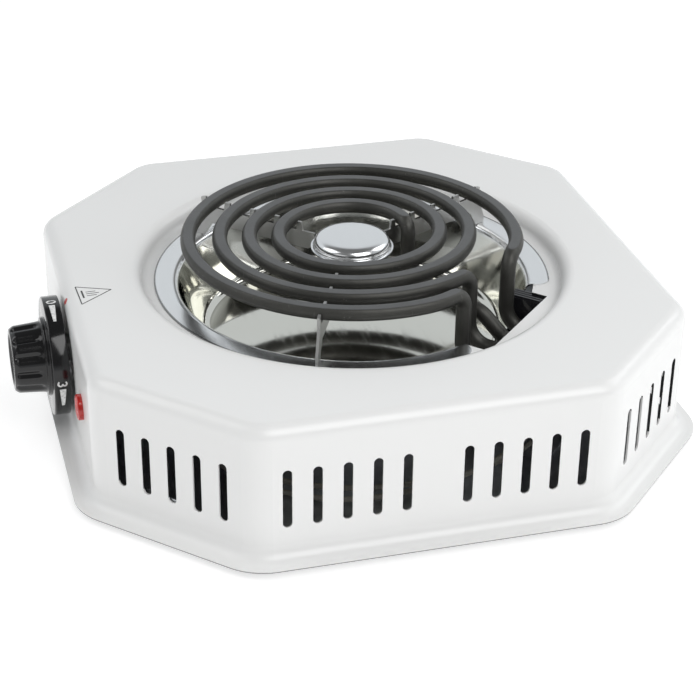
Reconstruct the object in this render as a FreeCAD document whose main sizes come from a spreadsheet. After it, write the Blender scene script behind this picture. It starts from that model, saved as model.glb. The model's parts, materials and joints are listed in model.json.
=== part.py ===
import FreeCAD, Part
import math
import os
import re

import Sketcher

# Hot plate burner: one tubular coil element in an octagonal enamelled steel housing.
# Frame: +Z up, origin under the middle of the coil on the surface that the feet stand on,
# front (knob wall) towards -Y, mains inlet towards +Y. The coil's four ends leave the pan
# along the diagonal towards +X +Y; pieces of that group are drawn along local X, then turned.

os.makedirs("parts", exist_ok=True)
Vector = FreeCAD.Vector
doc = FreeCAD.newDocument("hot_plate_burner")

# ---------------------------------------------------------------------------
# Driving dimensions, millimetres and degrees
# ---------------------------------------------------------------------------
DIMENSIONS = [
    # housing
    ("foot_drop", 3.0, "height of the housing flange above the surface"),
    ("body_length", 260.0, "housing, wall to wall along X"),
    ("body_width", 253.0, "housing, wall to wall along Y"),
    ("body_rise", 59.0, "housing, flange underside to top"),
    ("corner_cut", 54.0, "corner chamfer, measured along each wall"),
    ("corner_round", 16.0, "upright corner radius"),
    ("top_round", 6.5, "radius round the top edge"),
    ("housing_sheet", 0.8, "housing steel"),
    ("flange_reach", 8.3, "flange width beyond the walls"),
    ("flare_round", 6.0, "radius between wall and flange"),
    ("opening_room", 8.3, "outer coil ring to the round opening"),
    ("chord_room", 11.3, "outer coil ring to the straight side of the opening"),
    ("ledge_width", 9.5, "pan ledge round the opening"),
    ("recess_run", 8.0, "ledge out to where the recess leaves the flat top"),
    ("recess_depth", 7.0, "top of the housing down to the ledge"),
    ("notch_left", 25.5, "coil ends' notch, on the terminal block's side"),
    ("notch_right", 31.0, "coil ends' notch, on the other side"),
    ("slot_length", 26.0, "cooling slot"),
    ("slot_width", 3.8, "cooling slot"),
    ("slot_pitch", 11.95, "cooling slot spacing"),
    ("slot_lift", 14.4, "lower end of a slot above the flange underside"),
    ("slot_offset", 12.3, "middle of a wall to its nearest slot"),
    ("corner_slot_shift", 4.5, "corner slots from the middle of their wall, to the side walls"),
    # drip pan
    ("pan_play", 2.5, "drip pan rim inside the ledge's outer edge"),
    ("pan_flange", 9.5, "flat flange width"),
    ("pan_sheet", 0.6, "drip pan steel"),
    ("pan_depth", 26.5, "rim to the pan floor"),
    ("pan_lean", 11.0, "how far the wall leans in on its way down"),
    ("pan_gap_angle", 23.6, "half angle of the flange's gap"),
    # coil
    ("tube_radius", 3.3, "coil sheath"),
    ("tube_flat", 0.7, "depth ground off the top of the rings"),
    ("coil_lift", 11.6, "ring centreline above the housing top"),
    ("ring_radius", 71.2, "outer ring centreline"),
    ("spiral_room", 13.7, "outer ring in to the inner coil's first half turn"),
    ("cap_room", 8.3, "medallion cap out to the inner coil's last half turn"),
    ("curl_radius", 40.0, "tighter bend at both ends of the outer ring"),
    ("leg_bend", 7.0, "bend radius where a ring turns down"),
    ("centre_bend", 5.2, "bend radius where the inner coil's middle end turns down"),
    ("foot_bend", 10.0, "bend radius where a leg turns out to its terminal"),
    ("leg_drop", 14.0, "coil ends below the ledge"),
    ("outer_end_left", 16.36, "outer coil's first end, sideways"),
    ("outer_end_right", 21.94, "outer coil's second end, sideways the other way"),
    ("inner_end_right", 5.12, "inner coil's outer end, sideways the other way"),
    ("inner_end_left", 4.0, "inner coil's middle end, sideways"),
    ("end_run", 18.8, "outer ring out to the ends of the sheaths"),
    ("pin_run", 7.0, "terminal pins beyond the sheaths"),
    ("pin_radius", 1.25, "terminal pin"),
    ("arm_sheet", 1.2, "support arm strip"),
    ("arm_depth", 8.0, "support arm, upright"),
    ("cap_radius", 17.2, "medallion cap"),
    ("cap_rise", 0.8, "top of the cap above the rings' centreline"),
    ("disc_overlap", 0.8, "medallion's lower disc beyond its cap"),
    ("hinge_run", 6.0, "ends of the sheaths out to the hinge axis"),
    ("hinge_drop", 10.0, "hinge axis below the coil ends"),
    ("hinge_half", 18.6, "hinge ears, half the width between them"),
    ("hinge_sheet", 1.2, "coil bracket and hinge bracket"),
    ("hinge_pin_radius", 2.0, "hinge pin"),
    ("block_width", 7.2, "terminal block"),
    ("block_length", 20.0, "terminal block"),
    # controls
    ("knob_height", 29.3, "knob axis above the flange underside"),
    ("knob_radius", 25.6, "knob skirt"),
    ("skirt_width", 7.0, "knob skirt along the axis"),
    ("knob_gap", 1.7, "wall to skirt"),
    ("grip_radius", 15.4, "grip at its foot"),
    ("grip_length", 15.0, "grip along the axis"),
    ("shaft_radius", 3.0, "switch shaft"),
    ("switch_size", 34.0, "rotary switch body, square"),
    ("switch_depth", 20.0, "rotary switch body along its axis"),
    ("lamp_across", 46.0, "pilot lamp, sideways from the knob"),
    ("lamp_radius", 5.5, "pilot lamp lens"),
    ("lamp_stand", 2.5, "pilot lamp lens proud of the wall"),
    ("inlet_radius", 7.0, "hole of the mains inlet"),
    # base
    ("base_sheet", 0.8, "base plate"),
    ("foot_radius", 8.0, "rubber foot"),
    ("foot_inset", 22.0, "foot centre from the walls"),
    ("shield_lift", 9.0, "heat shield above the base plate"),
    ("shield_radius", 58.0, "heat shield"),
    ("shield_sheet", 0.6, "heat shield"),
    ("screw_radius", 1.5, "machine screws"),
    ("foot_screw_radius", 2.0, "screws of the feet"),
    ("screw_room", 0.1, "radial room of a screw in its hole"),
    ("fit_gap", 0.3, "room between pieces that only lie together"),
    ("running_gap", 0.05, "radial room of a pin or shaft that turns"),
]

sheet = doc.addObject("Spreadsheet::Sheet", "Dimensions")
for row, (alias, amount, note) in enumerate(DIMENSIONS, start=1):
    sheet.set("A%d" % row, note)
    sheet.set("B%d" % row, str(amount))
    sheet.setAlias("B%d" % row, alias)
doc.recompute()
ALIASES = {alias for alias, amount, note in DIMENSIONS}


def bound(text):
    """The expression with each alias pointed at the sheet."""
    return re.sub(r"[a-z_]+", lambda word: "Dimensions." + word.group()
                  if word.group() in ALIASES else word.group(), str(text))


def size(text):
    """The number that an expression on the sheet comes to."""
    result = sheet.evalExpression(bound(text))
    return float(getattr(result, "Value", result))


# Heights that many pieces share
BASE_Z = "(foot_drop + housing_sheet)"
PLATE_TOP_Z = "(foot_drop + housing_sheet + base_sheet)"
TOP_Z = "(foot_drop + body_rise)"
LEDGE_Z = "(foot_drop + body_rise - recess_depth)"
RING_Z = "(foot_drop + body_rise + coil_lift)"
END_Z = "(foot_drop + body_rise - recess_depth - leg_drop)"
HINGE_Z = "(foot_drop + body_rise - recess_depth - leg_drop - hinge_drop)"
KNOB_Z = "(foot_drop + knob_height)"
INLET_Z = "(foot_drop + housing_sheet + base_sheet + 15)"
SCREW_HALF = "(switch_size/2 - 4)"

# Radii and reaches that follow the outer coil ring
OPENING_R = "(ring_radius + opening_room)"
CHORD_X = "(ring_radius + chord_room)"
LEDGE_R = "(ring_radius + opening_room + ledge_width)"
MOUTH_R = "(ring_radius + opening_room + ledge_width + recess_run)"
PAN_R = "(ring_radius + opening_room + ledge_width - pan_play)"
SPIRAL_R = "(ring_radius - spiral_room)"
SPIRAL_STEP = "((ring_radius - spiral_room - cap_radius - cap_room) / 5)"
END_X = "(ring_radius + end_run)"
HINGE_X = "(ring_radius + end_run + hinge_run)"
DIAGONAL = FreeCAD.Placement(Vector(), FreeCAD.Rotation(Vector(0, 0, 1), 45))
FRONT_TURN = FreeCAD.Rotation(Vector(1, 0, 0), 90)

nodes = []


# ---------------------------------------------------------------------------
# Helpers
# ---------------------------------------------------------------------------
def node(thing, label):
    """Name a finished piece and put it on the list to be written."""
    thing.Label = label
    nodes.append(thing)
    return thing


def new_body(name):
    return doc.addObject("PartDesign::Body", name + "_body")


def add_sketch(body, name, role="XY_Plane", lift="0"):
    plane = [part for part in body.Origin.OriginFeatures if part.Role == role][0]
    sketch = body.newObject("Sketcher::SketchObject", name)
    sketch.AttachmentSupport = (plane, "")
    sketch.MapMode = "FlatFace"
    sketch.setExpression("AttachmentOffset.Base.z", bound(lift))
    return sketch


def hold_point(sketch, geometry, place, x, y):
    """Tie one point of a sketch to its two coordinates."""
    for axis, text, line in (("X", x, -2), ("Y", y, -1)):
        amount = size(text)
        if abs(amount) < 1e-9:
            sketch.addConstraint(Sketcher.Constraint("PointOnObject", geometry, place, line))
            continue
        rule = Sketcher.Constraint("Distance" + axis, -1, 1, geometry, place, amount)
        number = sketch.addConstraint(rule)
        title = "point_%s_%d_%d" % (axis.lower(), geometry, place)
        sketch.renameConstraint(number, title)
        sketch.setExpression("Constraints." + title, bound(text))


def polygon(sketch, corners):
    """A closed outline of straight lines; each corner is a pair of expressions."""
    first = sketch.GeometryCount
    count = len(corners)
    spots = [Vector(size(x), size(y), 0) for x, y in corners]
    for step in range(count):
        sketch.addGeometry(Part.LineSegment(spots[step], spots[(step + 1) % count]), False)
    for step in range(count):
        after = first + (step + 1) % count
        sketch.addConstraint(Sketcher.Constraint("Coincident", first + step, 2, after, 1))
    for step, (x, y) in enumerate(corners):
        hold_point(sketch, first + step, 1, x, y)


def circle(sketch, radius, x="0", y="0"):
    centre = Vector(size(x), size(y), 0)
    number = sketch.addGeometry(Part.Circle(centre, Vector(0, 0, 1), size(radius)), False)
    rule = sketch.addConstraint(Sketcher.Constraint("Radius", number, size(radius)))
    title = "radius_%d" % number
    sketch.renameConstraint(rule, title)
    sketch.setExpression("Constraints." + title, bound(radius))
    hold_point(sketch, number, 3, x, y)


def octagon(sketch, half_x, half_y, cut):
    """The housing's outline: a rectangle with its four corners cut at 45 degrees."""
    long_x, long_y = "(%s)" % half_x, "(%s)" % half_y
    short_x, short_y = "(%s - %s)" % (long_x, cut), "(%s - %s)" % (long_y, cut)
    quarter = [(long_x, short_y), (short_x, long_y)]
    corners = list(quarter)
    corners += [("-" + x, y) for x, y in reversed(quarter)]
    corners += [("-" + x, "-" + y) for x, y in quarter]
    corners += [(x, "-" + y) for x, y in reversed(quarter)]
    polygon(sketch, corners)


def grow(body, kind, sketch, length, name, reverse=False):
    """A Pad or Pocket of the sketch."""
    feature = body.newObject("PartDesign::" + kind, name)
    feature.Profile = sketch
    feature.Reversed = reverse
    feature.setExpression("Length", bound(length))
    doc.recompute()
    return feature


def revolve(body, sketch, name):
    feature = body.newObject("PartDesign::Revolution", name)
    feature.Profile = sketch
    feature.ReferenceAxis = (sketch, ["V_Axis"])
    feature.Angle = 360
    doc.recompute()
    return feature


def dress(body, kind, base, edges, amount, name):
    """A Fillet or Chamfer on the edges that pass the test."""
    names = ["Edge%d" % (i + 1) for i, edge in enumerate(base.Shape.Edges) if edges(edge)]
    feature = body.newObject("PartDesign::" + kind, name)
    feature.Base = (base, names)
    feature.setExpression("Radius" if kind == "Fillet" else "Size", bound(amount))
    doc.recompute()
    return feature


def level(edge, height):
    """True for an edge that lies wholly at one height."""
    box = edge.BoundBox
    return abs(box.ZMin - height) < 1e-4 and abs(box.ZMax - height) < 1e-4


def upright(edge):
    box = edge.BoundBox
    return box.XLength < 1e-4 and box.YLength < 1e-4


def feature(shape, name, placement=None):
    """A Part::Feature for a shape worked out from the sheet."""
    thing = doc.addObject("Part::Feature", name)
    thing.Shape = shape
    if placement is not None:
        thing.Placement = placement.multiply(shape.Placement)
    return thing


def combine(kind, base, tool, name):
    """A boolean of two objects."""
    thing = doc.addObject("Part::" + kind, name)
    thing.Base = base
    thing.Tool = tool
    thing.Refine = True
    return thing


def tube_box(x, y, z, middle):
    """A box of the given sizes about a middle point."""
    return Part.makeBox(x, y, z, Vector(*middle) - Vector(x, y, z) * 0.5)


def rod(radius, start, end):
    start, end = Vector(*start), Vector(*end)
    return Part.makeCylinder(radius, (end - start).Length, start, end - start)


def rounded_path(points, radii):
    """Straight runs through the points, joined by tangent arcs of the given radii."""
    points = [Vector(*point) for point in points]
    edges = []
    last = points[0]
    for corner, after, radius in zip(points[1:-1], points[2:], radii):
        back = (last - corner).normalize()
        ahead = (after - corner).normalize()
        half = back.getAngle(ahead) / 2
        trim = radius / math.tan(half)
        into, out = corner + back * trim, corner + ahead * trim
        middle = (back + ahead).normalize()
        crown = corner + middle * (radius / math.sin(half) - radius)
        if (into - last).Length > 1e-6:
            edges.append(Part.LineSegment(last, into).toShape())
        edges.append(Part.Arc(into, crown, out).toShape())
        last = out
    if (points[-1] - last).Length > 1e-6:
        edges.append(Part.LineSegment(last, points[-1]).toShape())
    return edges


def tube(edges, radius):
    """A round bar along a path of lines and tangent arcs."""
    path = Part.Wire(Part.__sortEdges__(edges))
    start = path.OrderedEdges[0]
    point = start.valueAt(start.FirstParameter)
    heading = start.tangentAt(start.FirstParameter)
    if start.Orientation == "Reversed":
        point = start.valueAt(start.LastParameter)
        heading = start.tangentAt(start.LastParameter) * -1
    section = Part.Wire([Part.makeCircle(radius, point, heading)])
    return path.makePipeShell([section], True, False)


def formed_sheet(points, radii, thickness):
    """A pressed sheet round the Z axis; the points (r, z) run inwards along its upper face.

    The lower face is the same outline moved by the thickness to its left, so a bend to the
    left has a smaller radius there and a bend to the right a larger one.
    """
    runs = [Vector(r2 - r1, z2 - z1, 0).normalize()
            for (r1, z1), (r2, z2) in zip(points, points[1:])]
    lefts = [Vector(-run.y, run.x, 0) for run in runs]
    lower = []
    for step, (r, z) in enumerate(points):
        before, after = lefts[max(step - 1, 0)], lefts[min(step, len(runs) - 1)]
        shift = (before + after) * (thickness / (1 + before.dot(after)))
        lower.append((r + shift.x, z + shift.y))
    lower_radii = [radius - math.copysign(thickness, before.cross(after).z)
                   for radius, before, after in zip(radii, runs, runs[1:])]
    upper_edges = rounded_path([(r, 0, z) for r, z in points], radii)
    lower_edges = rounded_path([(r, 0, z) for r, z in lower], lower_radii)
    ends = [Part.LineSegment(Vector(points[end][0], 0, points[end][1]),
                             Vector(lower[end][0], 0, lower[end][1])).toShape()
            for end in (0, -1)]
    outline = Part.Wire(Part.__sortEdges__(upper_edges + lower_edges + ends))
    return Part.Face(outline).revolve(Vector(), Vector(0, 0, 1), 360)


# ---------------------------------------------------------------------------
# Housing
# ---------------------------------------------------------------------------
def outline_reach(edge):
    """How far an edge's middle lies outside the flat walls (negative inside)."""
    middle = edge.valueAt((edge.FirstParameter + edge.LastParameter) / 2)
    x, y = abs(middle.x), abs(middle.y)
    half_x, half_y = size("body_length/2"), size("body_width/2")
    slant = (x + y - (half_x + half_y - size("corner_cut"))) / math.sqrt(2)
    return max(x - half_x, y - half_y, slant)


def make_housing():
    body = new_body("housing_shell")
    plan = add_sketch(body, "wall_plan", lift="foot_drop")
    octagon(plan, "body_length/2", "body_width/2", "corner_cut")
    grow(body, "Pad", plan, "body_rise", "walls")
    # a cut corner that moves out by the flange's reach grows by (2 - sqrt 2) of that reach
    flange_plan = add_sketch(body, "flange_plan", lift="foot_drop")
    octagon(flange_plan, "body_length/2 + flange_reach", "body_width/2 + flange_reach",
            "(corner_cut + flange_reach * 0.586)")
    grow(body, "Pad", flange_plan, "housing_sheet", "flange")
    void_plan = add_sketch(body, "void_plan", lift="foot_drop")
    octagon(void_plan, "body_length/2 - housing_sheet", "body_width/2 - housing_sheet",
            "(corner_cut - housing_sheet * 0.586)")
    shell = grow(body, "Pocket", void_plan, "body_rise - housing_sheet", "void", reverse=True)

    tall = size("body_rise") / 2
    steel = size("housing_sheet")
    low, flange_top = size("foot_drop"), size("foot_drop + housing_sheet")
    top, inner_top = size(TOP_Z), size(TOP_Z + " - housing_sheet")

    def inner(edge):
        return outline_reach(edge) < -0.5 * steel

    def at_wall(edge):
        return -0.5 * steel < outline_reach(edge) < 0.5 * steel

    shell = dress(body, "Fillet", shell, lambda edge: upright(edge) and edge.Length > tall
                  and at_wall(edge), "corner_round", "wall_corners")
    shell = dress(body, "Fillet", shell, lambda edge: upright(edge) and edge.Length > tall
                  and inner(edge), "corner_round - housing_sheet", "void_corners")
    shell = dress(body, "Fillet", shell, lambda edge: upright(edge) and edge.Length < tall,
                  "corner_round + flange_reach", "flange_corners")
    shell = dress(body, "Fillet", shell, lambda edge: level(edge, top), "top_round", "top_edge")
    shell = dress(body, "Fillet", shell, lambda edge: level(edge, inner_top),
                  "top_round - housing_sheet", "void_top")
    shell = dress(body, "Fillet", shell, lambda edge: level(edge, flange_top)
                  and outline_reach(edge) < 0.5 * steel, "flare_round", "flare")
    dress(body, "Fillet", shell, lambda edge: level(edge, low) and outline_reach(edge) < 0.1,
          "flare_round + housing_sheet", "flare_inside")
    mouth_plan = add_sketch(body, "mouth_plan", lift=TOP_Z)
    circle(mouth_plan, MOUTH_R)
    grow(body, "Pocket", mouth_plan, "housing_sheet * 2", "mouth")
    return body


UPPER_SHARE = 0.66


def recess_skin():
    """The pressed slope from the top down to the ledge: two opposite tangent arcs."""
    mouth, ledge = size(MOUTH_R), size(LEDGE_R)
    top, low = size(TOP_Z), size(LEDGE_Z)
    run, rise = mouth - ledge, top - low
    turn = 2 * math.atan2(rise, run)
    both = run / math.sin(turn)
    upper = both * UPPER_SHARE
    lower = both - upper
    sheet_steel = size("housing_sheet")

    def arc(centre_r, centre_z, radius, start, end):
        spots = [Vector(centre_r + radius * math.sin(angle), 0, centre_z + radius * math.cos(angle))
                 for angle in (start, (start + end) / 2, end)]
        return Part.Arc(*spots).toShape()

    upper_z = top - upper
    lower_r, lower_z = ledge, low + lower
    opening = size(OPENING_R)
    edges = []
    for shift in (0, sheet_steel):
        edges.append(arc(mouth, upper_z, upper - shift, 0, -turn))
        edges.append(arc(lower_r, lower_z, lower + shift, math.pi, math.pi - turn))
        edges.append(Part.LineSegment(Vector(lower_r, 0, low - shift),
                                      Vector(opening, 0, low - shift)).toShape())
    edges.append(Part.LineSegment(Vector(mouth, 0, top),
                                  Vector(mouth, 0, top - sheet_steel)).toShape())
    edges.append(Part.LineSegment(Vector(opening, 0, low),
                                  Vector(opening, 0, low - sheet_steel)).toShape())
    outline = Part.Wire(Part.__sortEdges__(edges))
    return Part.Face(outline).revolve(Vector(), Vector(0, 0, 1), 360)


def stadium(width, length, depth):
    """A slot cutter: rounded ends up and down, cutting along Y, middle at the origin."""
    radius = width / 2
    straight = length - width
    cutter = tube_box(width, depth, straight, (0, 0, 0))
    for end in (-straight / 2, straight / 2):
        cutter = cutter.fuse(rod(radius, (0, -depth / 2, end), (0, depth / 2, end)))
    return cutter


def wall_slots():
    """Cooling slots: two groups of five in each side and rear wall, one in each cut corner."""
    length, pitch = size("slot_length"), size("slot_pitch")
    one = stadium(size("slot_width"), length, 10)
    height = size("foot_drop + slot_lift") + length / 2
    groups = [size("slot_offset") + step * pitch for step in range(5)]
    groups += [-offset for offset in groups]
    corner_group = [(step - 2) * pitch for step in range(5)]
    half_x, half_y = size("body_length/2"), size("body_width/2")
    slant = (half_x + half_y - size("corner_cut")) / math.sqrt(2)
    shift = (half_x - half_y) / math.sqrt(2) - size("corner_slot_shift")
    walls = [(90, half_y, groups), (0, half_x, groups), (180, half_x, groups)]
    walls += [(angle, slant, [offset + slide for offset in corner_group])
              for angle, slide in ((45, -shift), (135, shift), (225, -shift), (315, shift))]
    cutters = []
    for angle, reach, offsets in walls:
        for offset in offsets:
            cutter = one.copy()
            cutter.Placement = FreeCAD.Placement(
                Vector(0, 0, height), FreeCAD.Rotation(Vector(0, 0, 1), angle - 90)).multiply(
                FreeCAD.Placement(Vector(offset, reach, 0), FreeCAD.Rotation()))
            cutters.append(cutter)
    return Part.makeCompound(cutters)


def housing_holes():
    """Straight-sided opening for the coil ends, and the holes in the front and rear walls."""
    left, right = size("notch_left"), size("notch_right")
    chord = Part.makeBox(size(CHORD_X), left + right, 6, Vector(0, -right, size(LEDGE_Z) - 3))
    chord.rotate(Vector(), Vector(0, 0, 1), 45)
    front, rear = -size("body_width/2"), size("body_width/2")
    across = size("lamp_across")
    knob_z = size(KNOB_Z)
    holes = [chord,
             rod(size("shaft_radius") + 1.0, (0, front - 3, knob_z), (0, front + 3, knob_z)),
             rod(size("lamp_radius") - 1.0, (across, front - 3, knob_z), (across, front + 3, knob_z)),
             rod(size("inlet_radius"), (0, rear - 3, size(INLET_Z)), (0, rear + 3, size(INLET_Z)))]
    for side in (-1, 1):
        spot = side * size(SCREW_HALF)
        holes.append(rod(size("screw_radius + screw_room"), (spot, front - 3, knob_z),
                         (spot, front + 3, knob_z)))
    return Part.makeCompound(holes)


shell = make_housing()
recessed = combine("Fuse", shell, feature(recess_skin(), "recess_skin"), "recessed")
slotted = combine("Cut", recessed, feature(wall_slots(), "slot_cutters"), "slotted")
housing = combine("Cut", slotted, feature(housing_holes(), "hole_cutters"), "housing_cut")
node(housing, "housing")


# ---------------------------------------------------------------------------
# Base plate, brackets, feet and their screws
# ---------------------------------------------------------------------------
def make_base_plate():
    body = new_body("base_plate")
    plan = add_sketch(body, "base_plan", lift=BASE_Z)
    octagon(plan, "body_length/2 - housing_sheet - fit_gap",
            "body_width/2 - housing_sheet - fit_gap",
            "(corner_cut + 1)")
    plate = grow(body, "Pad", plan, "base_sheet", "base_sheet_pad")
    dress(body, "Fillet", plate, upright, "corner_round", "base_corners")
    return body


VENT_LENGTH, VENT_WIDTH, VENT_PITCH, VENT_ACROSS = 34.0, 4.0, 11.0, 40.0


def base_cutters():
    """Nine vent slots on each side and the holes for feet and bracket screws."""
    low = size(BASE_Z) - 1
    thick = size("base_sheet") + 2
    cutters = []
    for side in (-1, 1):
        for step in range(-4, 5):
            middle = (side * VENT_ACROSS, step * VENT_PITCH, low + thick / 2)
            cutters.append(tube_box(VENT_LENGTH, VENT_WIDTH, thick, middle))
    for places, radius in ((foot_places(), size("foot_screw_radius + screw_room")),
                           (bracket_places(), size("screw_radius + screw_room"))):
        for x, y in places:
            cutters.append(rod(radius, (x, y, low), (x, y, low + thick)))
    return Part.makeCompound(cutters)


BRACKET_REACH, BRACKET_SIDE, BRACKET_WIDTH, BRACKET_SHEET = 9.0, 14.0, 16.0, 1.2


def foot_places():
    x = size("body_length/2 - corner_cut")
    y = size("body_width/2 - foot_inset")
    return [(sx * x, sy * y) for sx in (-1, 1) for sy in (-1, 1)]


def bracket_places():
    """Screw places of the four wall brackets, under the cut corners' middles."""
    half_x, half_y = size("body_length/2"), size("body_width/2")
    cut = size("corner_cut")
    reach = (size("housing_sheet + fit_gap") + BRACKET_REACH) / math.sqrt(2)
    return [(sx * (half_x - cut / 2 - reach), sy * (half_y - cut / 2 - reach))
            for sx in (-1, 1) for sy in (-1, 1)]


def wall_bracket():
    """An angle bracket, its upright leaf at local +X and its screw hole at the origin."""
    foot = tube_box(BRACKET_SIDE, BRACKET_WIDTH, BRACKET_SHEET,
                    (BRACKET_REACH - BRACKET_SIDE / 2, 0, BRACKET_SHEET / 2))
    leaf = tube_box(BRACKET_SHEET, BRACKET_WIDTH, BRACKET_SIDE,
                    (BRACKET_REACH - BRACKET_SHEET / 2, 0, BRACKET_SIDE / 2))
    hole = rod(size("screw_radius"), (0, 0, -1), (0, 0, BRACKET_SHEET + 1))
    return foot.fuse(leaf).cut(hole).removeSplitter()


base_plate = combine("Cut", make_base_plate(), feature(base_cutters(), "base_cutters"), "base_cut")
node(base_plate, "base_plate")

base_screws = []
for number, (x, y) in enumerate(bracket_places(), start=1):
    turn = math.degrees(math.atan2(math.copysign(1, y), math.copysign(1, x)))
    place = FreeCAD.Placement(Vector(x, y, size(PLATE_TOP_Z)),
                              FreeCAD.Rotation(Vector(0, 0, 1), turn))
    node(feature(wall_bracket(), "bracket", place), "wall_bracket_%d" % number)
    low = size(BASE_Z)
    head = rod(2.8, (x, y, low - 1.6), (x, y, low))
    base_screws.append(head.fuse(rod(size("screw_radius"), (x, y, low), (x, y, low + 5))))
node(feature(Part.makeCompound(base_screws), "base_screws"), "base_screws")


def make_foot(name, x, y):
    """A turned rubber foot with a seat for its screw head."""
    body = new_body(name)
    profile = add_sketch(body, name + "_profile", role="XZ_Plane")
    top = "(foot_drop + housing_sheet)"
    bore = "(foot_screw_radius + screw_room)"
    polygon(profile, [(bore, "1.8"), ("4.6", "1.8"), ("4.6", "0"), ("foot_radius - 1.2", "0"),
                      ("foot_radius", top), (bore, top)])
    revolve(body, profile, name + "_turned")
    body.Placement = FreeCAD.Placement(Vector(x, y, 0), FreeCAD.Rotation())
    return body


foot_screws = []
for number, (x, y) in enumerate(foot_places(), start=1):
    node(make_foot("rubber_foot_%d" % number, x, y), "foot_%d" % number)
    nut_z = size(PLATE_TOP_Z)
    screw = rod(3.8, (x, y, 0.4), (x, y, 1.8)).fuse(
        rod(size("foot_screw_radius"), (x, y, 1.8), (x, y, nut_z + 4.4)))
    nut = rod(3.6, (x, y, nut_z), (x, y, nut_z + 2.4))
    foot_screws.append(screw.fuse(nut))
node(feature(Part.makeCompound(foot_screws), "foot_screws"), "foot_screws")


# ---------------------------------------------------------------------------
# Drip pan and heat shield
# ---------------------------------------------------------------------------
PAN_GAP = 0.05
pan_top = size(LEDGE_Z) + size("pan_sheet") + PAN_GAP
pan_inner = size(PAN_R) - size("pan_flange")


def pan_shape():
    """The bowl, its gap and notch for the coil's legs, and the flange's rounded corners."""
    rim, inner = size(PAN_R), pan_inner
    floor_z = pan_top - size("pan_depth")
    points = [(rim, pan_top), (inner, pan_top), (inner - size("pan_lean"), floor_z), (0, floor_z)]
    pan = formed_sheet(points, [3.5, 5], size("pan_sheet"))
    reach = rim + 5
    spread = reach * math.tan(math.radians(size("pan_gap_angle")))
    wedge = Part.makePolygon([Vector(0, 0, 0), Vector(reach, -spread, 0),
                              Vector(reach, spread, 0), Vector(0, 0, 0)])
    gap = Part.Face(wedge).extrude(Vector(0, 0, 6))
    gap.translate(Vector(0, 0, pan_top - 2.5))
    notch_low = size(END_Z) - size("tube_radius") - 1.7
    notch_start = pan_inner / 2
    notch_half = size("notch_right") - 1
    notch = Part.makeBox(reach - notch_start, 2 * notch_half, pan_top - notch_low + 2,
                         Vector(notch_start, -notch_half, notch_low))
    pan = pan.cut(gap).cut(notch)
    corners = [edge for edge in pan.Edges if upright(edge)
               and edge.BoundBox.ZMax > pan_top - 0.1
               and math.hypot(edge.BoundBox.XMin, edge.BoundBox.YMin) > rim - 0.1]
    return pan.makeFillet(6, corners)


node(feature(pan_shape(), "pan", DIAGONAL), "drip_pan")

shield_z = size(PLATE_TOP_Z + "+ shield_lift")
shield_r = size("shield_radius")
shield_sheet = size("shield_sheet")
SHIELD_HOLE, SPACER_REACH = 12.0, 40.0
shield = formed_sheet([(shield_r, shield_z + 2), (shield_r - 4, shield_z + 2),
                       (shield_r - 7, shield_z), (SHIELD_HOLE, shield_z)], [1.5, 1.5], shield_sheet)
spacers = []
spacer_holes = []
for step in range(3):
    angle = math.radians(90 + 120 * step)
    x, y = SPACER_REACH * math.cos(angle), SPACER_REACH * math.sin(angle)
    low = size(PLATE_TOP_Z)
    spacers.append(rod(3.5, (x, y, low), (x, y, shield_z - shield_sheet)).fuse(
        rod(size("screw_radius"), (x, y, shield_z - 1), (x, y, shield_z))).fuse(
        rod(2.6, (x, y, shield_z), (x, y, shield_z + 1))))
    spacer_holes.append(rod(size("screw_radius + screw_room"), (x, y, shield_z - 2),
                            (x, y, shield_z + 2)))
node(feature(shield.cut(Part.makeCompound(spacer_holes)), "shield"), "heat_shield")
node(feature(Part.makeCompound(spacers), "spacers"), "shield_spacers")


# ---------------------------------------------------------------------------
# Coil element, drawn with its ends leaving along local +X
# ---------------------------------------------------------------------------
ring_z = size(RING_Z)
end_z = size(END_Z)
tube_r = size("tube_radius")
bend = size("leg_bend")
end_reach = size(END_X)
curl = size("curl_radius")
spiral_step = size(SPIRAL_STEP)
SPIRAL_AXIS = math.radians(-60)
ARM_ANGLES = [math.radians(degrees) for degrees in (180, 72, -70)]
PAST_ARM = math.radians(2.26)
CURL_ANGLE = math.radians(20)
outer_left, outer_right = size("outer_end_left"), -size("outer_end_right")
inner_left, inner_right = size("inner_end_left"), -size("inner_end_right")


def turned(radius, angle, middle=(0.0, 0.0)):
    """A point of the ring plane."""
    return Vector(middle[0] + radius * math.cos(angle), middle[1] + radius * math.sin(angle), ring_z)


def ring_arc(radius, start, end, middle=(0.0, 0.0)):
    spots = [turned(radius, angle, middle) for angle in (start, (start + end) / 2, end)]
    return Part.Arc(*spots).toShape()


def straight_leg(top, heading):
    """From a ring's end, over a bend and down, then straight out to its terminal."""
    corner = top + heading * bend
    points = [top, corner, Vector(corner.x, corner.y, end_z), Vector(end_reach, corner.y, end_z)]
    return rounded_path(points, [bend, size("foot_bend")])


def ring_heading(angle, clockwise):
    heading = Vector(-math.sin(angle), math.cos(angle), 0)
    return heading * (-1 if clockwise else 1)


def curl_start(sideways):
    """The angle where the outer ring starts to curl, for a leg that far to the side.

    The leg's sideways place is (ring - curl) sin a + curl sin(a - c) - bend cos(a - c), which
    is one sine wave of a, so it is turned round with an arc sine.
    """
    swing = CURL_ANGLE
    of_sine = size("ring_radius") - curl + curl * math.cos(swing) - bend * math.sin(swing)
    of_cosine = -curl * math.sin(swing) - bend * math.cos(swing)
    return math.asin(sideways / math.hypot(of_sine, of_cosine)) - math.atan2(of_cosine, of_sine)


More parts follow.
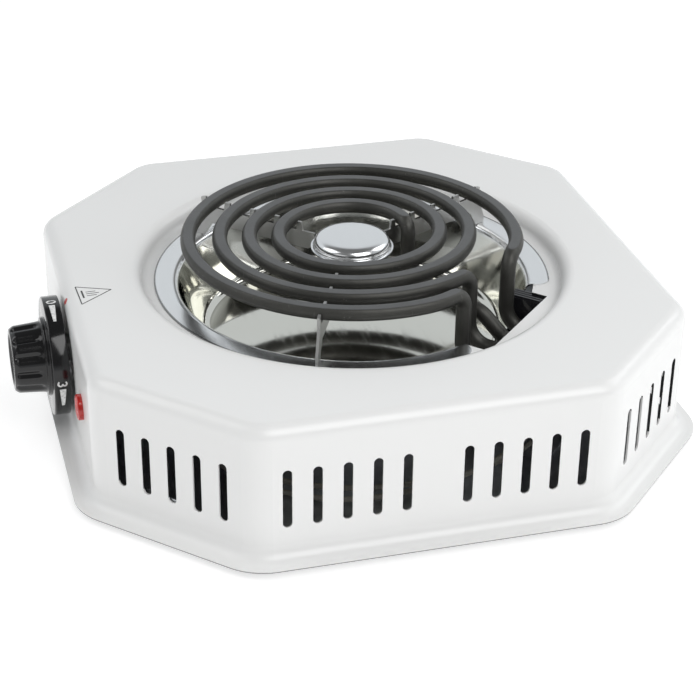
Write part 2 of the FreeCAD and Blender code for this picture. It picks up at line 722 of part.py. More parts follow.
def outer_coil_path():
    """One ring, curled in a little at both ends, and its two legs."""
    ring = size("ring_radius")
    first, last = curl_start(outer_left), 2 * math.pi - curl_start(-outer_right)
    edges = [ring_arc(ring, first, last)]
    for angle, clockwise in ((first, True), (last, False)):
        shift = ring - curl
        middle = (shift * math.cos(angle), shift * math.sin(angle))
        end = angle + (-CURL_ANGLE if clockwise else CURL_ANGLE)
        edges.append(ring_arc(curl, angle, end, middle))
        top = turned(curl, end, middle)
        edges += straight_leg(top, ring_heading(end, clockwise))
    return edges


def ring_reaches(angle):
    """Where the rings cross a ray from the middle, from the outside in."""
    step, radius = spiral_step, size(SPIRAL_R)
    beside = (angle - SPIRAL_AXIS) % (2 * math.pi)
    reaches = [size("ring_radius")]
    for turn in range(3):
        if beside > math.pi:
            reaches.append(radius - 2 * step * turn)
        else:
            bow = radius - step - 2 * step * turn
            along, off = -step * math.cos(beside), step * math.sin(beside)
            reaches.append(along + math.sqrt(bow ** 2 - off ** 2))
    return reaches


def spiral_finish(middle):
    """The angle about that centre where the spiral ends, just past the second arm."""
    reach, angle = ring_reaches(ARM_ANGLES[1])[-1], ARM_ANGLES[1]
    across, along = reach * math.cos(angle) - middle[0], reach * math.sin(angle) - middle[1]
    return math.atan2(along, across) - 2 * math.pi - PAST_ARM


def inner_coil_path():
    """A spiral of half circles about two centres, and its two legs."""
    step, radius = spiral_step, size(SPIRAL_R)
    middle = (-step * math.cos(SPIRAL_AXIS), -step * math.sin(SPIRAL_AXIS))
    entry = radius + step
    start = (math.asin((inner_right - middle[1]) / math.hypot(entry, bend))
             - math.atan2(bend, entry))
    edges = [ring_arc(entry, start, SPIRAL_AXIS, middle)]
    edges += straight_leg(turned(entry, start, middle), ring_heading(start, False))
    half = math.pi
    last = spiral_finish(middle)
    for finish in (SPIRAL_AXIS - 2 * half, SPIRAL_AXIS - 2 * half, last):
        edges.append(ring_arc(radius, SPIRAL_AXIS, SPIRAL_AXIS - half))
        edges.append(ring_arc(radius - step, SPIRAL_AXIS - half, finish, middle))
        radius -= 2 * step
    top = turned(radius + step, last, middle)
    centre_bend = size("centre_bend")
    corner = top + ring_heading(last, True) * centre_bend
    low = size(LEDGE_Z) - 2
    points = [top, corner, Vector(corner.x, corner.y, low),
              Vector(end_reach - 50, inner_left + 2, low),
              Vector(end_reach - 28, inner_left - 1.5, low),
              Vector(end_reach - 16, inner_left, end_z), Vector(end_reach, inner_left, end_z)]
    edges += rounded_path(points, [centre_bend, 9, 20, 9, 9])
    return edges


def sheath(edges, name):
    """The sheath swept along its path, with the rings ground flat on top."""
    bar = tube(edges, tube_r)
    length = sum(edge.Length for edge in edges)
    print(name, "length", round(length), "volume share",
          round(bar.Volume / (math.pi * tube_r ** 2 * length), 4))
    flat = tube_box(300, 300, 10, (0, 0, ring_z + tube_r - size("tube_flat") + 5))
    return bar.cut(flat)


node(feature(sheath(outer_coil_path(), "outer coil"), "outer", DIAGONAL), "outer_coil")
node(feature(sheath(inner_coil_path(), "inner coil"), "inner", DIAGONAL), "inner_coil")


# Support arms: upright strips under the rings with tabs between them and a foot on the pan rim
arm_top = ring_z - tube_r
arm_low = arm_top - size("arm_depth")
tab_top = arm_top + tube_r + 0.6
rest_z = pan_top + PAN_GAP
hub_radius = size("cap_radius + disc_overlap")
disc_z = arm_low + 6
TAB_FOOT, TAB_TIP = 0.26, 0.18
HUB_START = 6.0


def arm_shape(angle):
    """Outline along the ray (reach, height), then thickened to the strip.

    From the hub along the bottom to the foot on the pan's flange, up to the hook outside the
    outer ring, then inwards over a tab in each gap between rings.
    """
    hook = size("ring_radius") + tube_r
    outline = [(HUB_START, arm_low + 3), (hub_radius, arm_low + 3), (hub_radius + 4, arm_low),
               (pan_inner - 4, arm_low), (pan_inner, rest_z), (pan_inner + 5, rest_z),
               (pan_inner + 5, rest_z + 3), (hook + 3.5, arm_top - 2), (hook + 4, tab_top),
               (hook + 1.5, tab_top + 0.6), (hook + 0.9, arm_top)]
    reaches = ring_reaches(angle)
    for outer, inner in zip(reaches, reaches[1:]):
        middle, gap = (outer + inner) / 2, outer - inner - 2 * tube_r
        outline += [(middle + TAB_FOOT * gap, arm_top), (middle + TAB_TIP * gap, tab_top),
                    (middle - TAB_TIP * gap, tab_top), (middle - TAB_FOOT * gap, arm_top)]
    inside = reaches[-1] - tube_r - 0.6
    if inside - 3 > hub_radius + 1:
        outline += [(inside, arm_top), (inside - 0.4, tab_top), (inside - 2.4, tab_top),
                    (inside - 3, arm_top)]
    outline += [(hub_radius + 1, arm_top), (hub_radius + 1, disc_z), (HUB_START, disc_z)]
    wire = Part.makePolygon([Vector(r, 0, z) for r, z in outline + outline[:1]])
    strip = Part.Face(wire).extrude(Vector(0, size("arm_sheet"), 0))
    strip.translate(Vector(0, -size("arm_sheet") / 2, 0))
    strip.rotate(Vector(), Vector(0, 0, 1), math.degrees(angle))
    return strip


for number, angle in enumerate(ARM_ANGLES, start=1):
    node(feature(arm_shape(angle), "arm", DIAGONAL), "support_arm_%d" % number)

# Medallion: a lower disc on the arms, a domed cap, and the rivet that joins them
DISC_SHEET, RIVET_RADIUS = 0.8, 2.0
cap_z = disc_z + DISC_SHEET
disc = formed_sheet([(hub_radius, cap_z), (RIVET_RADIUS, cap_z)], [], DISC_SHEET)
node(feature(disc, "disc"), "medallion_base")
cap_r = size("cap_radius")
cap_top = ring_z + size("cap_rise")
CAP_FALL, CAP_CROWN = 1.2, 8.0
cap = formed_sheet([(cap_r, cap_z), (cap_r, cap_top - CAP_FALL), (CAP_CROWN, cap_top),
                    (0, cap_top)], [2.5, 5], DISC_SHEET)
node(feature(cap, "cap"), "medallion_cap")
rivet = rod(RIVET_RADIUS, (0, 0, arm_low), (0, 0, cap_top - DISC_SHEET - 0.1))
rivet = rivet.fuse(rod(HUB_START - 1.4, (0, 0, arm_low), (0, 0, disc_z)))
node(feature(rivet, "rivet"), "medallion_rivet")


# ---------------------------------------------------------------------------
# Coil bracket, end beads and pins; hinge and terminal block
# ---------------------------------------------------------------------------
hinge_x, hinge_z = size(HINGE_X), size(HINGE_Z)
pin_r = size("hinge_pin_radius")
ear_inside, hinge_sheet = size("hinge_half"), size("hinge_sheet")
PLATE_BACK, PLATE_EDGE, PLATE_RISE, EAR_RISE = 4.0, 0.74, 8.0, 4.5
plate_x = end_reach - PLATE_BACK
plate_left = outer_left + tube_r + PLATE_EDGE
plate_right = outer_right - tube_r - PLATE_EDGE
plate_low = hinge_z - 3

plate = Part.makeBox(hinge_sheet, plate_left - plate_right, end_z + PLATE_RISE - plate_low,
                     Vector(plate_x, plate_right, plate_low))
coil_bracket = plate
for side in (-1, 1):
    y = side * (ear_inside + hinge_sheet / 2)
    ear_length = hinge_x + 5 - plate_x
    ear = tube_box(ear_length, hinge_sheet, 2 * EAR_RISE, (plate_x + ear_length / 2, y, hinge_z + 0.5))
    coil_bracket = coil_bracket.fuse(ear.cut(
        rod(pin_r + size("running_gap"), (hinge_x, y - 3, hinge_z), (hinge_x, y + 3, hinge_z))))
beads, pins = [], []
terminal_r = size("pin_radius")
pin_tip = end_reach + size("pin_run")
for y in (outer_left, inner_left, inner_right, outer_right):
    coil_bracket = coil_bracket.cut(rod(tube_r + 0.1, (plate_x - 2, y, end_z),
                                        (plate_x + 3, y, end_z)))
    bead = rod(tube_r - 0.2, (end_reach, y, end_z), (end_reach + 4, y, end_z))
    beads.append(bead.cut(rod(terminal_r, (end_reach - 1, y, end_z), (end_reach + 6, y, end_z))))
    pins.append(rod(terminal_r, (end_reach, y, end_z), (pin_tip, y, end_z)))
node(feature(coil_bracket.removeSplitter(), "coil_plate", DIAGONAL), "coil_bracket")
node(feature(Part.makeCompound(beads), "beads", DIAGONAL), "end_beads")
node(feature(Part.makeCompound(pins), "pins", DIAGONAL), "coil_pins")

CHEEK_GAP, CHEEK_LENGTH, STAND_LENGTH = 1.4, 14.0, 18.0
cheek_y = ear_inside + hinge_sheet + CHEEK_GAP
stand_half = cheek_y + hinge_sheet
cheek_top = hinge_z + 5
plate_top = size(PLATE_TOP_Z)
stand = Part.makeBox(STAND_LENGTH, 2 * stand_half, hinge_sheet,
                     Vector(hinge_x - CHEEK_LENGTH / 2, -stand_half, plate_top))
for side in (-1, 1):
    stand = stand.fuse(tube_box(CHEEK_LENGTH, hinge_sheet, cheek_top - plate_top,
                                (hinge_x, side * (cheek_y + hinge_sheet / 2),
                                 (cheek_top + plate_top) / 2)))
stand = stand.cut(rod(pin_r + 0.02, (hinge_x, -60, hinge_z), (hinge_x, 60, hinge_z)))
node(feature(stand.removeSplitter(), "stand", DIAGONAL), "hinge_bracket")
hinge_pin = rod(pin_r, (hinge_x, -stand_half - 1, hinge_z), (hinge_x, stand_half + 1, hinge_z))
hinge_pin = hinge_pin.fuse(rod(pin_r + 1.2, (hinge_x, stand_half, hinge_z),
                               (hinge_x, stand_half + 1.2, hinge_z)))
node(feature(hinge_pin, "pin", DIAGONAL), "hinge_pin")

RIB_COUNT, RIB_WIDTH, RIB_RISE = 4, 0.9, 1.0
block_length, block_width = size("block_length"), size("block_width")
block_x = size(CHORD_X) - 15.7
block_y = plate_left + size("fit_gap")
block_top = size(LEDGE_Z) - 2
block = Part.makeBox(block_length, block_width, block_top - plate_top,
                     Vector(block_x, block_y, plate_top))
rib_pitch = (block_width - RIB_WIDTH) / (RIB_COUNT - 0.3)
for step in range(RIB_COUNT):
    block = block.fuse(Part.makeBox(block_length, RIB_WIDTH, RIB_RISE,
                                    Vector(block_x, block_y + 0.5 + rib_pitch * step, block_top)))
node(feature(block.removeSplitter(), "block", DIAGONAL), "terminal_block")


# ---------------------------------------------------------------------------
# Rotary switch, knob and pilot lamp on the front wall
# ---------------------------------------------------------------------------
front = -size("body_width/2")
inside_y = front + size("housing_sheet")
knob_z = size(KNOB_Z)
shaft_r = size("shaft_radius")
side = size("switch_size")
depth = size("switch_depth")
knob_gap = size("knob_gap")
screw_r = size("screw_radius")
CLIP_RADIUS = 3.2


def make_knob():
    """Turned knob with a hollow skirt, a fluted grip and a bore; its axis is local Z."""
    body = new_body("knob")
    profile = add_sketch(body, "knob_profile", role="XZ_Plane")
    polygon(profile, [
        ("0", "3"), ("3.2", "3"), ("3.2", "0"), ("7", "0"), ("7", "skirt_width - 2.2"),
        ("knob_radius - 2.2", "skirt_width - 2.2"), ("knob_radius - 2.2", "0"),
        ("knob_radius - 0.6", "0"), ("knob_radius", "0.6"), ("knob_radius", "skirt_width - 0.8"),
        ("knob_radius - 0.8", "skirt_width"), ("grip_radius + 1.6", "skirt_width"),
        ("grip_radius + 1.6", "skirt_width + 1.6"), ("grip_radius", "skirt_width + 1.6"),
        ("grip_radius - 1.0", "skirt_width + grip_length - 1.5"),
        ("grip_radius - 2.5", "skirt_width + grip_length"),
        ("grip_radius - 4.5", "skirt_width + grip_length"),
        ("grip_radius - 5.5", "skirt_width + grip_length - 1.0"),
        ("0", "skirt_width + grip_length - 1.0")])
    revolve(body, profile, "knob_turned")
    flute = add_sketch(body, "flute", lift="skirt_width + 1.6")
    circle(flute, "6", x="grip_radius + 5.2")
    cut = grow(body, "Pocket", flute, "grip_length + 2", "flute_cut", reverse=True)
    pattern = body.newObject("PartDesign::PolarPattern", "flutes")
    pattern.Originals = [cut]
    pattern.Axis = (flute, ["N_Axis"])
    pattern.Angle = 360
    pattern.Occurrences = 12
    body.Tip = pattern
    doc.recompute()
    body.Placement = FreeCAD.Placement(Vector(0, front - knob_gap, knob_z), FRONT_TURN)
    return body


node(make_knob(), "knob")

shaft_tip = front - knob_gap - 2.8
clip_y = front - knob_gap - 0.2
shaft = rod(shaft_r, (0, shaft_tip, knob_z), (0, inside_y + 6, knob_z))
clip = rod(CLIP_RADIUS, (0, shaft_tip, knob_z), (0, clip_y, knob_z)).cut(
    rod(shaft_r, (0, shaft_tip - 1, knob_z), (0, clip_y + 1, knob_z)))
clip = clip.cut(Part.makeBox(1, 6, 4, Vector(-0.5, shaft_tip - 1, knob_z)))
node(feature(shaft, "shaft"), "switch_shaft")
node(feature(clip, "clip"), "knob_clip")

bracket_sheet = 1.0
bracket = Part.makeBox(side + 6, bracket_sheet, side, Vector(-side / 2 - 3, inside_y, knob_z - side / 2))
bracket = bracket.cut(rod(shaft_r + 1, (0, inside_y - 1, knob_z), (0, inside_y + 3, knob_z)))
case_y = inside_y + bracket_sheet
case = Part.makeBox(side, depth, side, Vector(-side / 2, case_y, knob_z - side / 2))
case = case.makeFillet(2, [edge for edge in case.Edges if edge.BoundBox.YLength > depth - 0.1])
case = case.cut(rod(shaft_r + size("running_gap"), (0, case_y - 1, knob_z), (0, inside_y + 6.2, knob_z)))
screws = []
for way in (-1, 1):
    x = way * size(SCREW_HALF)
    bracket = bracket.cut(rod(screw_r, (x, front - 1, knob_z), (x, case_y + 1, knob_z)))
    case = case.cut(rod(screw_r, (x, case_y - 1, knob_z), (x, case_y + 5, knob_z)))
    screws.append(rod(screw_r, (x, front, knob_z), (x, case_y + 5, knob_z)).fuse(
        rod(2.6, (x, front - 1.2, knob_z), (x, front, knob_z))))
node(feature(bracket, "bracket_plate"), "switch_bracket")
node(feature(case, "switch_case"), "switch_body")
node(feature(Part.makeCompound(screws), "switch_screws"), "switch_screws")
TAB_WIDTH, TAB_LENGTH, TAB_SHEET = 6.0, 8.0, 0.8
tabs = [Part.makeBox(TAB_WIDTH, TAB_LENGTH, TAB_SHEET,
                     Vector(x - TAB_WIDTH / 2, case_y + depth, knob_z + z))
        for x, z in ((-10, -8), (10, -8), (-10, 8), (10, 8), (0, 0))]
node(feature(Part.makeCompound(tabs), "tabs"), "switch_terminals")

lamp_x = size("lamp_across")
lamp_r = size("lamp_radius")
LAMP_STEM, LAMP_LENGTH = 6.0, 20.0


def make_lens():
    """Turned lens: a domed bezel with a stem through the wall; its axis is local Z."""
    body = new_body("lens")
    profile = add_sketch(body, "lens_profile", role="XZ_Plane")
    stem = str(-LAMP_STEM)
    polygon(profile, [("0", stem), ("lamp_radius - 1.1", stem), ("lamp_radius - 1.1", "0"),
                      ("lamp_radius", "0"), ("lamp_radius", "lamp_stand - 0.9"),
                      ("lamp_radius - 1.0", "lamp_stand - 0.2"), ("0", "lamp_stand")])
    revolve(body, profile, "lens_turned")
    body.Placement = FreeCAD.Placement(Vector(lamp_x, front, knob_z), FRONT_TURN)
    return body


node(make_lens(), "lamp_lens")
lamp_end = front + LAMP_STEM + LAMP_LENGTH
lamp_body = rod(lamp_r - 1.1, (lamp_x, front + LAMP_STEM, knob_z), (lamp_x, lamp_end, knob_z))
node(feature(lamp_body, "lamp_tube"), "lamp_body")
lamp_clip = rod(lamp_r + 2, (lamp_x, inside_y, knob_z), (lamp_x, inside_y + 1, knob_z)).cut(
    rod(lamp_r - 1.05, (lamp_x, inside_y - 1, knob_z), (lamp_x, inside_y + 3, knob_z)))
node(feature(lamp_clip, "lamp_ring"), "lamp_clip")


# ---------------------------------------------------------------------------
# Mains inlet: grommet, cord clamp, terminal strip, earth screw
# ---------------------------------------------------------------------------
rear = size("body_width/2")
inlet_z = size(INLET_Z)
inlet_r = size("inlet_radius")


def make_grommet():
    """Turned rubber grommet gripping the wall in its groove; its axis is local Z."""
    body = new_body("grommet")
    profile = add_sketch(body, "grommet_profile", role="XZ_Plane")
    polygon(profile, [("3.6", "-3"), ("inlet_radius + 1.6", "-3"),
                      ("inlet_radius + 1.6", "-housing_sheet"),
                      ("inlet_radius - 0.1", "-housing_sheet"),
                      ("inlet_radius - 0.1", "0"), ("inlet_radius + 2.2", "0"),
                      ("inlet_radius + 1.4", "1.8"), ("5.2", "3.5"), ("3.6", "3.5")])
    revolve(body, profile, "grommet_turned")
    body.Placement = FreeCAD.Placement(Vector(0, rear, inlet_z),
                                       FreeCAD.Rotation(Vector(1, 0, 0), -90))
    return body


node(make_grommet(), "cord_grommet")
SADDLE_LENGTH, SADDLE_WIDTH, CLAMP_SHEET, CLAMP_HALF = 26.0, 10.0, 3.0, 9.5
saddle_y = rear - 21
saddle_top = inlet_z - 4
clamp_low = inlet_z + 3.7
clamp_top = clamp_low + CLAMP_SHEET
saddle = tube_box(SADDLE_LENGTH, SADDLE_WIDTH, saddle_top - plate_top,
                  (0, saddle_y, (saddle_top + plate_top) / 2))
clamp = tube_box(SADDLE_LENGTH, SADDLE_WIDTH, CLAMP_SHEET,
                 (0, saddle_y, (clamp_low + clamp_top) / 2))
clamp_screws = []
for way in (-1, 1):
    x = way * CLAMP_HALF
    shank = rod(screw_r, (x, saddle_y, saddle_top), (x, saddle_y, clamp_top))
    clamp_screws.append(shank.fuse(rod(3, (x, saddle_y, clamp_top), (x, saddle_y, clamp_top + 1.8))))
    clamp = clamp.cut(rod(size("screw_radius + screw_room"), (x, saddle_y, clamp_low - 1),
                          (x, saddle_y, clamp_top + 1)))
node(feature(saddle, "saddle"), "cord_saddle")
node(feature(clamp, "clamp"), "cord_clamp")
node(feature(Part.makeCompound(clamp_screws), "clamp_screws"), "clamp_screws")

STRIP_LENGTH, STRIP_WIDTH, STRIP_RISE = 36.0, 14.0, 12.0
strip_x, strip_y = -44.0, rear - 39
strip = tube_box(STRIP_LENGTH, STRIP_WIDTH, STRIP_RISE,
                 (strip_x, strip_y, plate_top + STRIP_RISE / 2))
node(feature(strip.makeFillet(1.5, strip.Edges), "strip"), "mains_strip")
earth_x, earth_y = 30.0, rear - 34
earth = rod(2, (earth_x, earth_y, plate_top), (earth_x, earth_y, plate_top + 6))
for radius, low, high in ((4, 0, 1.2), (3.5, 2, 4.4)):
    earth = earth.fuse(rod(radius, (earth_x, earth_y, plate_top + low),
                           (earth_x, earth_y, plate_top + high)))
node(feature(earth, "earth"), "earth_stud")


# ---------------------------------------------------------------------------
# Internal leads: sleeved wires laid on the base plate, bends as wide as their runs allow
# ---------------------------------------------------------------------------
LEAD_RADIUS = 1.1


def diagonal(reach, across, height):
    """A point of the coil group's frame, in the part's frame."""
    return DIAGONAL.multVec(Vector(reach, across, height))


def lead(points):
    points = [Vector(*point) for point in points]
    radii = []
    for before, corner, after in zip(points, points[1:], points[2:]):
        back, ahead = before - corner, after - corner
        half = back.getAngle(ahead) / 2
        radii.append(0.45 * min(back.Length, ahead.Length) * math.tan(half))
    print("lead bends", [round(radius, 1) for radius in radii])
    return tube(rounded_path(points, radii), LEAD_RADIUS)


tab_y = case_y + depth + TAB_LENGTH + 1.3
lead_start = pin_tip + 3.6
floor_z = plate_top + 4
side_x = size("body_length/2") - 22
lead_routes = {
    "lead_outer_coil": [
        diagonal(lead_start, outer_right, end_z), diagonal(lead_start + 10, outer_right, end_z - 2),
        (side_x - 4, 44, end_z - 18), (side_x, 14, floor_z + 4), (side_x - 1, -30, floor_z),
        (side_x - 22, -66, floor_z + 1), (52, -84, floor_z + 5), (24, -84, floor_z + 18),
        (12, tab_y + 6, knob_z + 7), (10, tab_y, knob_z + 8.4)],
    "lead_inner_coil": [
        diagonal(lead_start, inner_right, end_z), diagonal(lead_start + 9, inner_right, end_z - 3),
        (side_x - 12, 54, end_z - 24), (side_x - 8, 20, floor_z), (side_x - 8, -26, floor_z + 1),
        (side_x - 28, -60, floor_z), (50, -76, floor_z), (26, -80, floor_z + 6),
        (13, tab_y + 7, knob_z - 9), (10, tab_y, knob_z - 7.6)],
    "lead_neutral": [
        diagonal(lead_start, outer_left, end_z), diagonal(lead_start + 10, outer_left, end_z - 3),
        (52, 100, end_z - 22), (24, 98, floor_z + 2), (4, 89, floor_z), (-12, 84.5, floor_z + 1),
        (-25.4, 84, floor_z + 2)],
    "lead_supply": [
        (strip_x, rear - 46.6, floor_z + 2), (strip_x - 1, rear - 58, floor_z + 1),
        (-62, 44, floor_z),
        (-78, 12, floor_z + 1), (-80, -26, floor_z), (-66, -58, floor_z + 1), (-42, -78, floor_z + 5),
        (-20, -82, floor_z + 16), (-11, tab_y + 7, knob_z - 8), (-10, tab_y, knob_z - 7.6)],
    "lead_lamp": [
        (lamp_x, lamp_end + 0.5, knob_z), (lamp_x - 2, front + 34, knob_z - 1),
        (lamp_x - 14, front + 39, knob_z - 1), (18, front + 37, knob_z),
        (6, tab_y + 5, knob_z + 0.4), (0, tab_y, knob_z + 0.4)],
    "lead_earth": [
        (25.4, rear - 34, floor_z + 1.4), (14, rear - 34, floor_z + 5), (-1, rear - 36, floor_z + 7),
        (-14, rear - 35.5, floor_z + 6), (-25.4, rear - 35, floor_z + 5)],
}
for name, points in lead_routes.items():
    node(feature(lead(points), name + "_sleeve"), name)


# ---------------------------------------------------------------------------
# Checks, then one STEP file for each node
# ---------------------------------------------------------------------------
doc.recompute()
for thing in doc.Objects:
    if "Invalid" in thing.State or "Error" in thing.State:
        raise RuntimeError("%s failed: %s" % (thing.Name, thing.State))
labels = [thing.Label for thing in nodes]
if len(set(labels)) != len(labels):
    raise RuntimeError("two nodes share a name")
for thing in nodes:
    if thing.Shape.isNull() or not thing.Shape.isValid() or not thing.Shape.Solids:
        raise RuntimeError("%s has no sound solid" % thing.Label)
    thing.Shape.exportStep("parts/%s.step" % thing.Label)
print(len(nodes), "nodes written")
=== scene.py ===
# %% [markdown]
# # A hot plate burner
# A small electric hot plate: an enamelled steel housing, a chrome drip pan, a black tubular
# coil that tips up on a hinge, and a rotary switch with a pilot lamp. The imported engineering
# model gives every size and place. This notebook adds the surfaces that the eye reads: gloss
# enamel, chrome, oxidised steel, moulded plastic, and the printed marks.

# %% Load the fixed frame
import json
import math
import bmesh
import bpy
import numpy as np
from mathutils import Matrix, Vector

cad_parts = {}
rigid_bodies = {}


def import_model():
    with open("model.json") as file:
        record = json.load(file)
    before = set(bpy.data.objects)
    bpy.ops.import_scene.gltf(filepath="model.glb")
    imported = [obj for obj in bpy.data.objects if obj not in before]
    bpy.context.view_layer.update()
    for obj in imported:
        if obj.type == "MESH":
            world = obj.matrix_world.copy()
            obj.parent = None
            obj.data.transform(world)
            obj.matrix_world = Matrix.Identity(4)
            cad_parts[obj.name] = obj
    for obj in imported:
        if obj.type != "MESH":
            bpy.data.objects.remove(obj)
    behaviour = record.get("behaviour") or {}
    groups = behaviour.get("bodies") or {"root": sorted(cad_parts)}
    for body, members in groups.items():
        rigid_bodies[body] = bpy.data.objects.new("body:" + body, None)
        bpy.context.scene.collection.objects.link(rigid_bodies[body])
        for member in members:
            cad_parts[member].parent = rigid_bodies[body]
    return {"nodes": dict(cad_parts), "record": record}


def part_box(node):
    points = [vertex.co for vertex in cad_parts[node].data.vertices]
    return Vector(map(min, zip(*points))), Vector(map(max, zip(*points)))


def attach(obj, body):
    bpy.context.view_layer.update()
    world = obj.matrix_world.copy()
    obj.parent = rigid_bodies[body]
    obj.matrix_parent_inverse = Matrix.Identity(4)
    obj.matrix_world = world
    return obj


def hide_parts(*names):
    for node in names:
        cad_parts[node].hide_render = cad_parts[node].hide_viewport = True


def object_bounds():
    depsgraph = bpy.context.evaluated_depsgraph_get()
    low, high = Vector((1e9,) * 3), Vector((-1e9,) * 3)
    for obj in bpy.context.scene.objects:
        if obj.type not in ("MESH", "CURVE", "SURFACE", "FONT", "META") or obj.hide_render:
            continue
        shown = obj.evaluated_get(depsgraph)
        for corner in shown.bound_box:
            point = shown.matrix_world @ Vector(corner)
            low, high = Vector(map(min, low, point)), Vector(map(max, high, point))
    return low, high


for leftover in list(bpy.data.objects):
    bpy.data.objects.remove(leftover)
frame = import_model()
cad_box = [list(corner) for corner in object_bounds()]
nodes = frame["nodes"]
scene = bpy.context.scene
print("CAD box", [[round(value, 4) for value in corner] for corner in cad_box])

# %% [markdown]
# ## Places taken from the frame
# Every later cell needs a few reference sizes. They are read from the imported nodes, so that a
# changed model moves the looks with it.

# %% Reference sizes
def middle(node):
    low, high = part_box(node)
    return (low + high) / 2


house_low, house_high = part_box("housing")
top_z = house_high.z
pan_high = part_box("drip_pan")[1]
ring_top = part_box("outer_coil")[1].z
knob_low, knob_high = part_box("knob")
knob_centre = middle("knob")
knob_radius = (knob_high.x - knob_low.x) / 2
FLANGE_REACH = 0.0083
FRONT = house_low.y + FLANGE_REACH
MOUTH, RECESS_DEPTH = 0.0972, 0.007
print("lit_top_tone", top_z, "ring top", ring_top, "knob radius", knob_radius)

# %% [markdown]
# ## Camera
# A long lens from the right-hand side, about thirty degrees above the table, keeps the
# octagon's walls nearly parallel. The camera's axes are built from two angles and a small
# roll, and its matrix is set directly.

# %% Camera
AZIMUTH, ELEVATION, ROLL = (math.radians(angle) for angle in (74.58, 29.15, 0.70))
DISTANCE = 0.81811
TARGET = Vector((0.02033, -0.00597, 0.02876))


def camera_matrix():
    back = Vector((math.sin(AZIMUTH) * math.cos(ELEVATION),
                   -math.cos(AZIMUTH) * math.cos(ELEVATION), math.sin(ELEVATION)))
    right = Vector((math.cos(AZIMUTH), math.sin(AZIMUTH), 0))
    up = back.cross(right)
    across = right * math.cos(ROLL) + up * math.sin(ROLL)
    upward = up * math.cos(ROLL) - right * math.sin(ROLL)
    place = TARGET + back * DISTANCE
    return Matrix((across, upward, back)).transposed().to_4x4(), place


camera_data = bpy.data.cameras.new("camera")
camera_data.lens = 96.4
camera_data.clip_start = 0.01
camera = bpy.data.objects.new("camera", camera_data)
scene.collection.objects.link(camera)
turn, place = camera_matrix()
camera.matrix_world = Matrix.Translation(place) @ turn
scene.camera = camera

# %% [markdown]
# ## A small language for node graphs
# Shader graphs get hard to read when every node is placed by hand. `Field` wraps one output
# socket, and Python's own operators add Math nodes, so `1 - mask` or `dust * 0.2 + 0.1`
# reads like the formula that it is. Any other node comes from `Graph.node`, which takes the
# node's type, its settings, and the values or links of its sockets.

# %% Field and Graph
class Field:
    """A number or colour that changes over a surface: one output socket of a node graph."""

    def __init__(self, graph, socket):
        self.graph, self.socket = graph, socket

    def maths(self, operation, other=None, swap=False):
        terms = [self] if other is None else [other, self] if swap else [self, other]
        return self.graph.node("ShaderNodeMath", {"operation": operation},
                               dict(enumerate(terms)))

    def __add__(self, other): return self.maths("ADD", other)
    def __radd__(self, other): return self.maths("ADD", other)
    def __sub__(self, other): return self.maths("SUBTRACT", other)
    def __rsub__(self, other): return self.maths("SUBTRACT", other, swap=True)
    def __mul__(self, other): return self.maths("MULTIPLY", other)
    def __rmul__(self, other): return self.maths("MULTIPLY", other)
    def __truediv__(self, other): return self.maths("DIVIDE", other)
    def __pow__(self, other): return self.maths("POWER", other)
    def __gt__(self, other): return self.maths("GREATER_THAN", other)
    def __lt__(self, other): return self.maths("LESS_THAN", other)
    def __abs__(self): return self.maths("ABSOLUTE")

    def bigger(self, other): return self.maths("MAXIMUM", other)

    def step(self, low, high):
        """0 at low, 1 at high, smooth between; low may be the larger."""
        return self.graph.node("ShaderNodeMapRange", {"interpolation_type": "SMOOTHSTEP"},
                               {"Value": self, "From Min": low, "From Max": high})


class Graph:
    """A node tree with one method for any node."""

    def __init__(self, tree):
        self.tree = tree

    def node(self, kind, settings=None, sockets=None, output=0):
        """Adds a node: its settings first, then the values or links of its sockets."""
        made = self.tree.nodes.new(kind)
        for key, value in (settings or {}).items():
            setattr(made, key, value)
        for key, value in (sockets or {}).items():
            self.feed(made.inputs[key], value)
        return Field(self, made.outputs[output]) if len(made.outputs) else None

    def feed(self, socket, value):
        if isinstance(value, Field):
            self.tree.links.new(value.socket, socket)
        elif isinstance(value, tuple) and len(socket.default_value) == 4:
            socket.default_value = (*value, 1)
        else:
            socket.default_value = value

    def split(self, vector):
        """The three numbers of a vector."""
        outputs = self.node("ShaderNodeSeparateXYZ", {}, {0: vector}).socket.node.outputs
        return [Field(self, outputs[axis]) for axis in "XYZ"]

    def blend(self, factor, first, second):
        """Colour from first to second as factor goes from 0 to 1."""
        return self.node("ShaderNodeMix", {"data_type": "RGBA"},
                         {0: factor, 6: first, 7: second}, output=2)


# %% [markdown]
# ## Light
# Polished metal shows its surroundings more than its own colour, so the room matters as much
# as the lamps. The room here is a pale sweep behind the object, which the flat chrome and the
# tops of the rings mirror, under a dark ceiling, which draws the dark band round every curved
# edge. Four area lamps light the enamel; the key lamp is the soft grey patch on the knob. Two
# boxes stand at the sides rather than overhead, so the knob's band stays dark on top.

# %% World and lamps
def build_world():
    world = bpy.data.worlds.new("room")
    scene.world = world
    world.use_nodes = True
    room = Graph(world.node_tree)
    room.tree.nodes.clear()
    x, y, z = room.split(room.node("ShaderNodeTexCoord", output="Generated"))
    away = x * -math.sin(AZIMUTH) + y * math.cos(AZIMUTH)
    sweep = away.step(-0.75, 0.25) * z.step(0.80, 0.60)
    low = z.step(0.16, 0.04)
    colour = room.blend(sweep.bigger(low * 0.8), CEILING, SWEEP)
    light = room.node("ShaderNodeBackground", {}, {"Color": colour, "Strength": 1.0})
    room.node("ShaderNodeOutputWorld", {}, {"Surface": light})


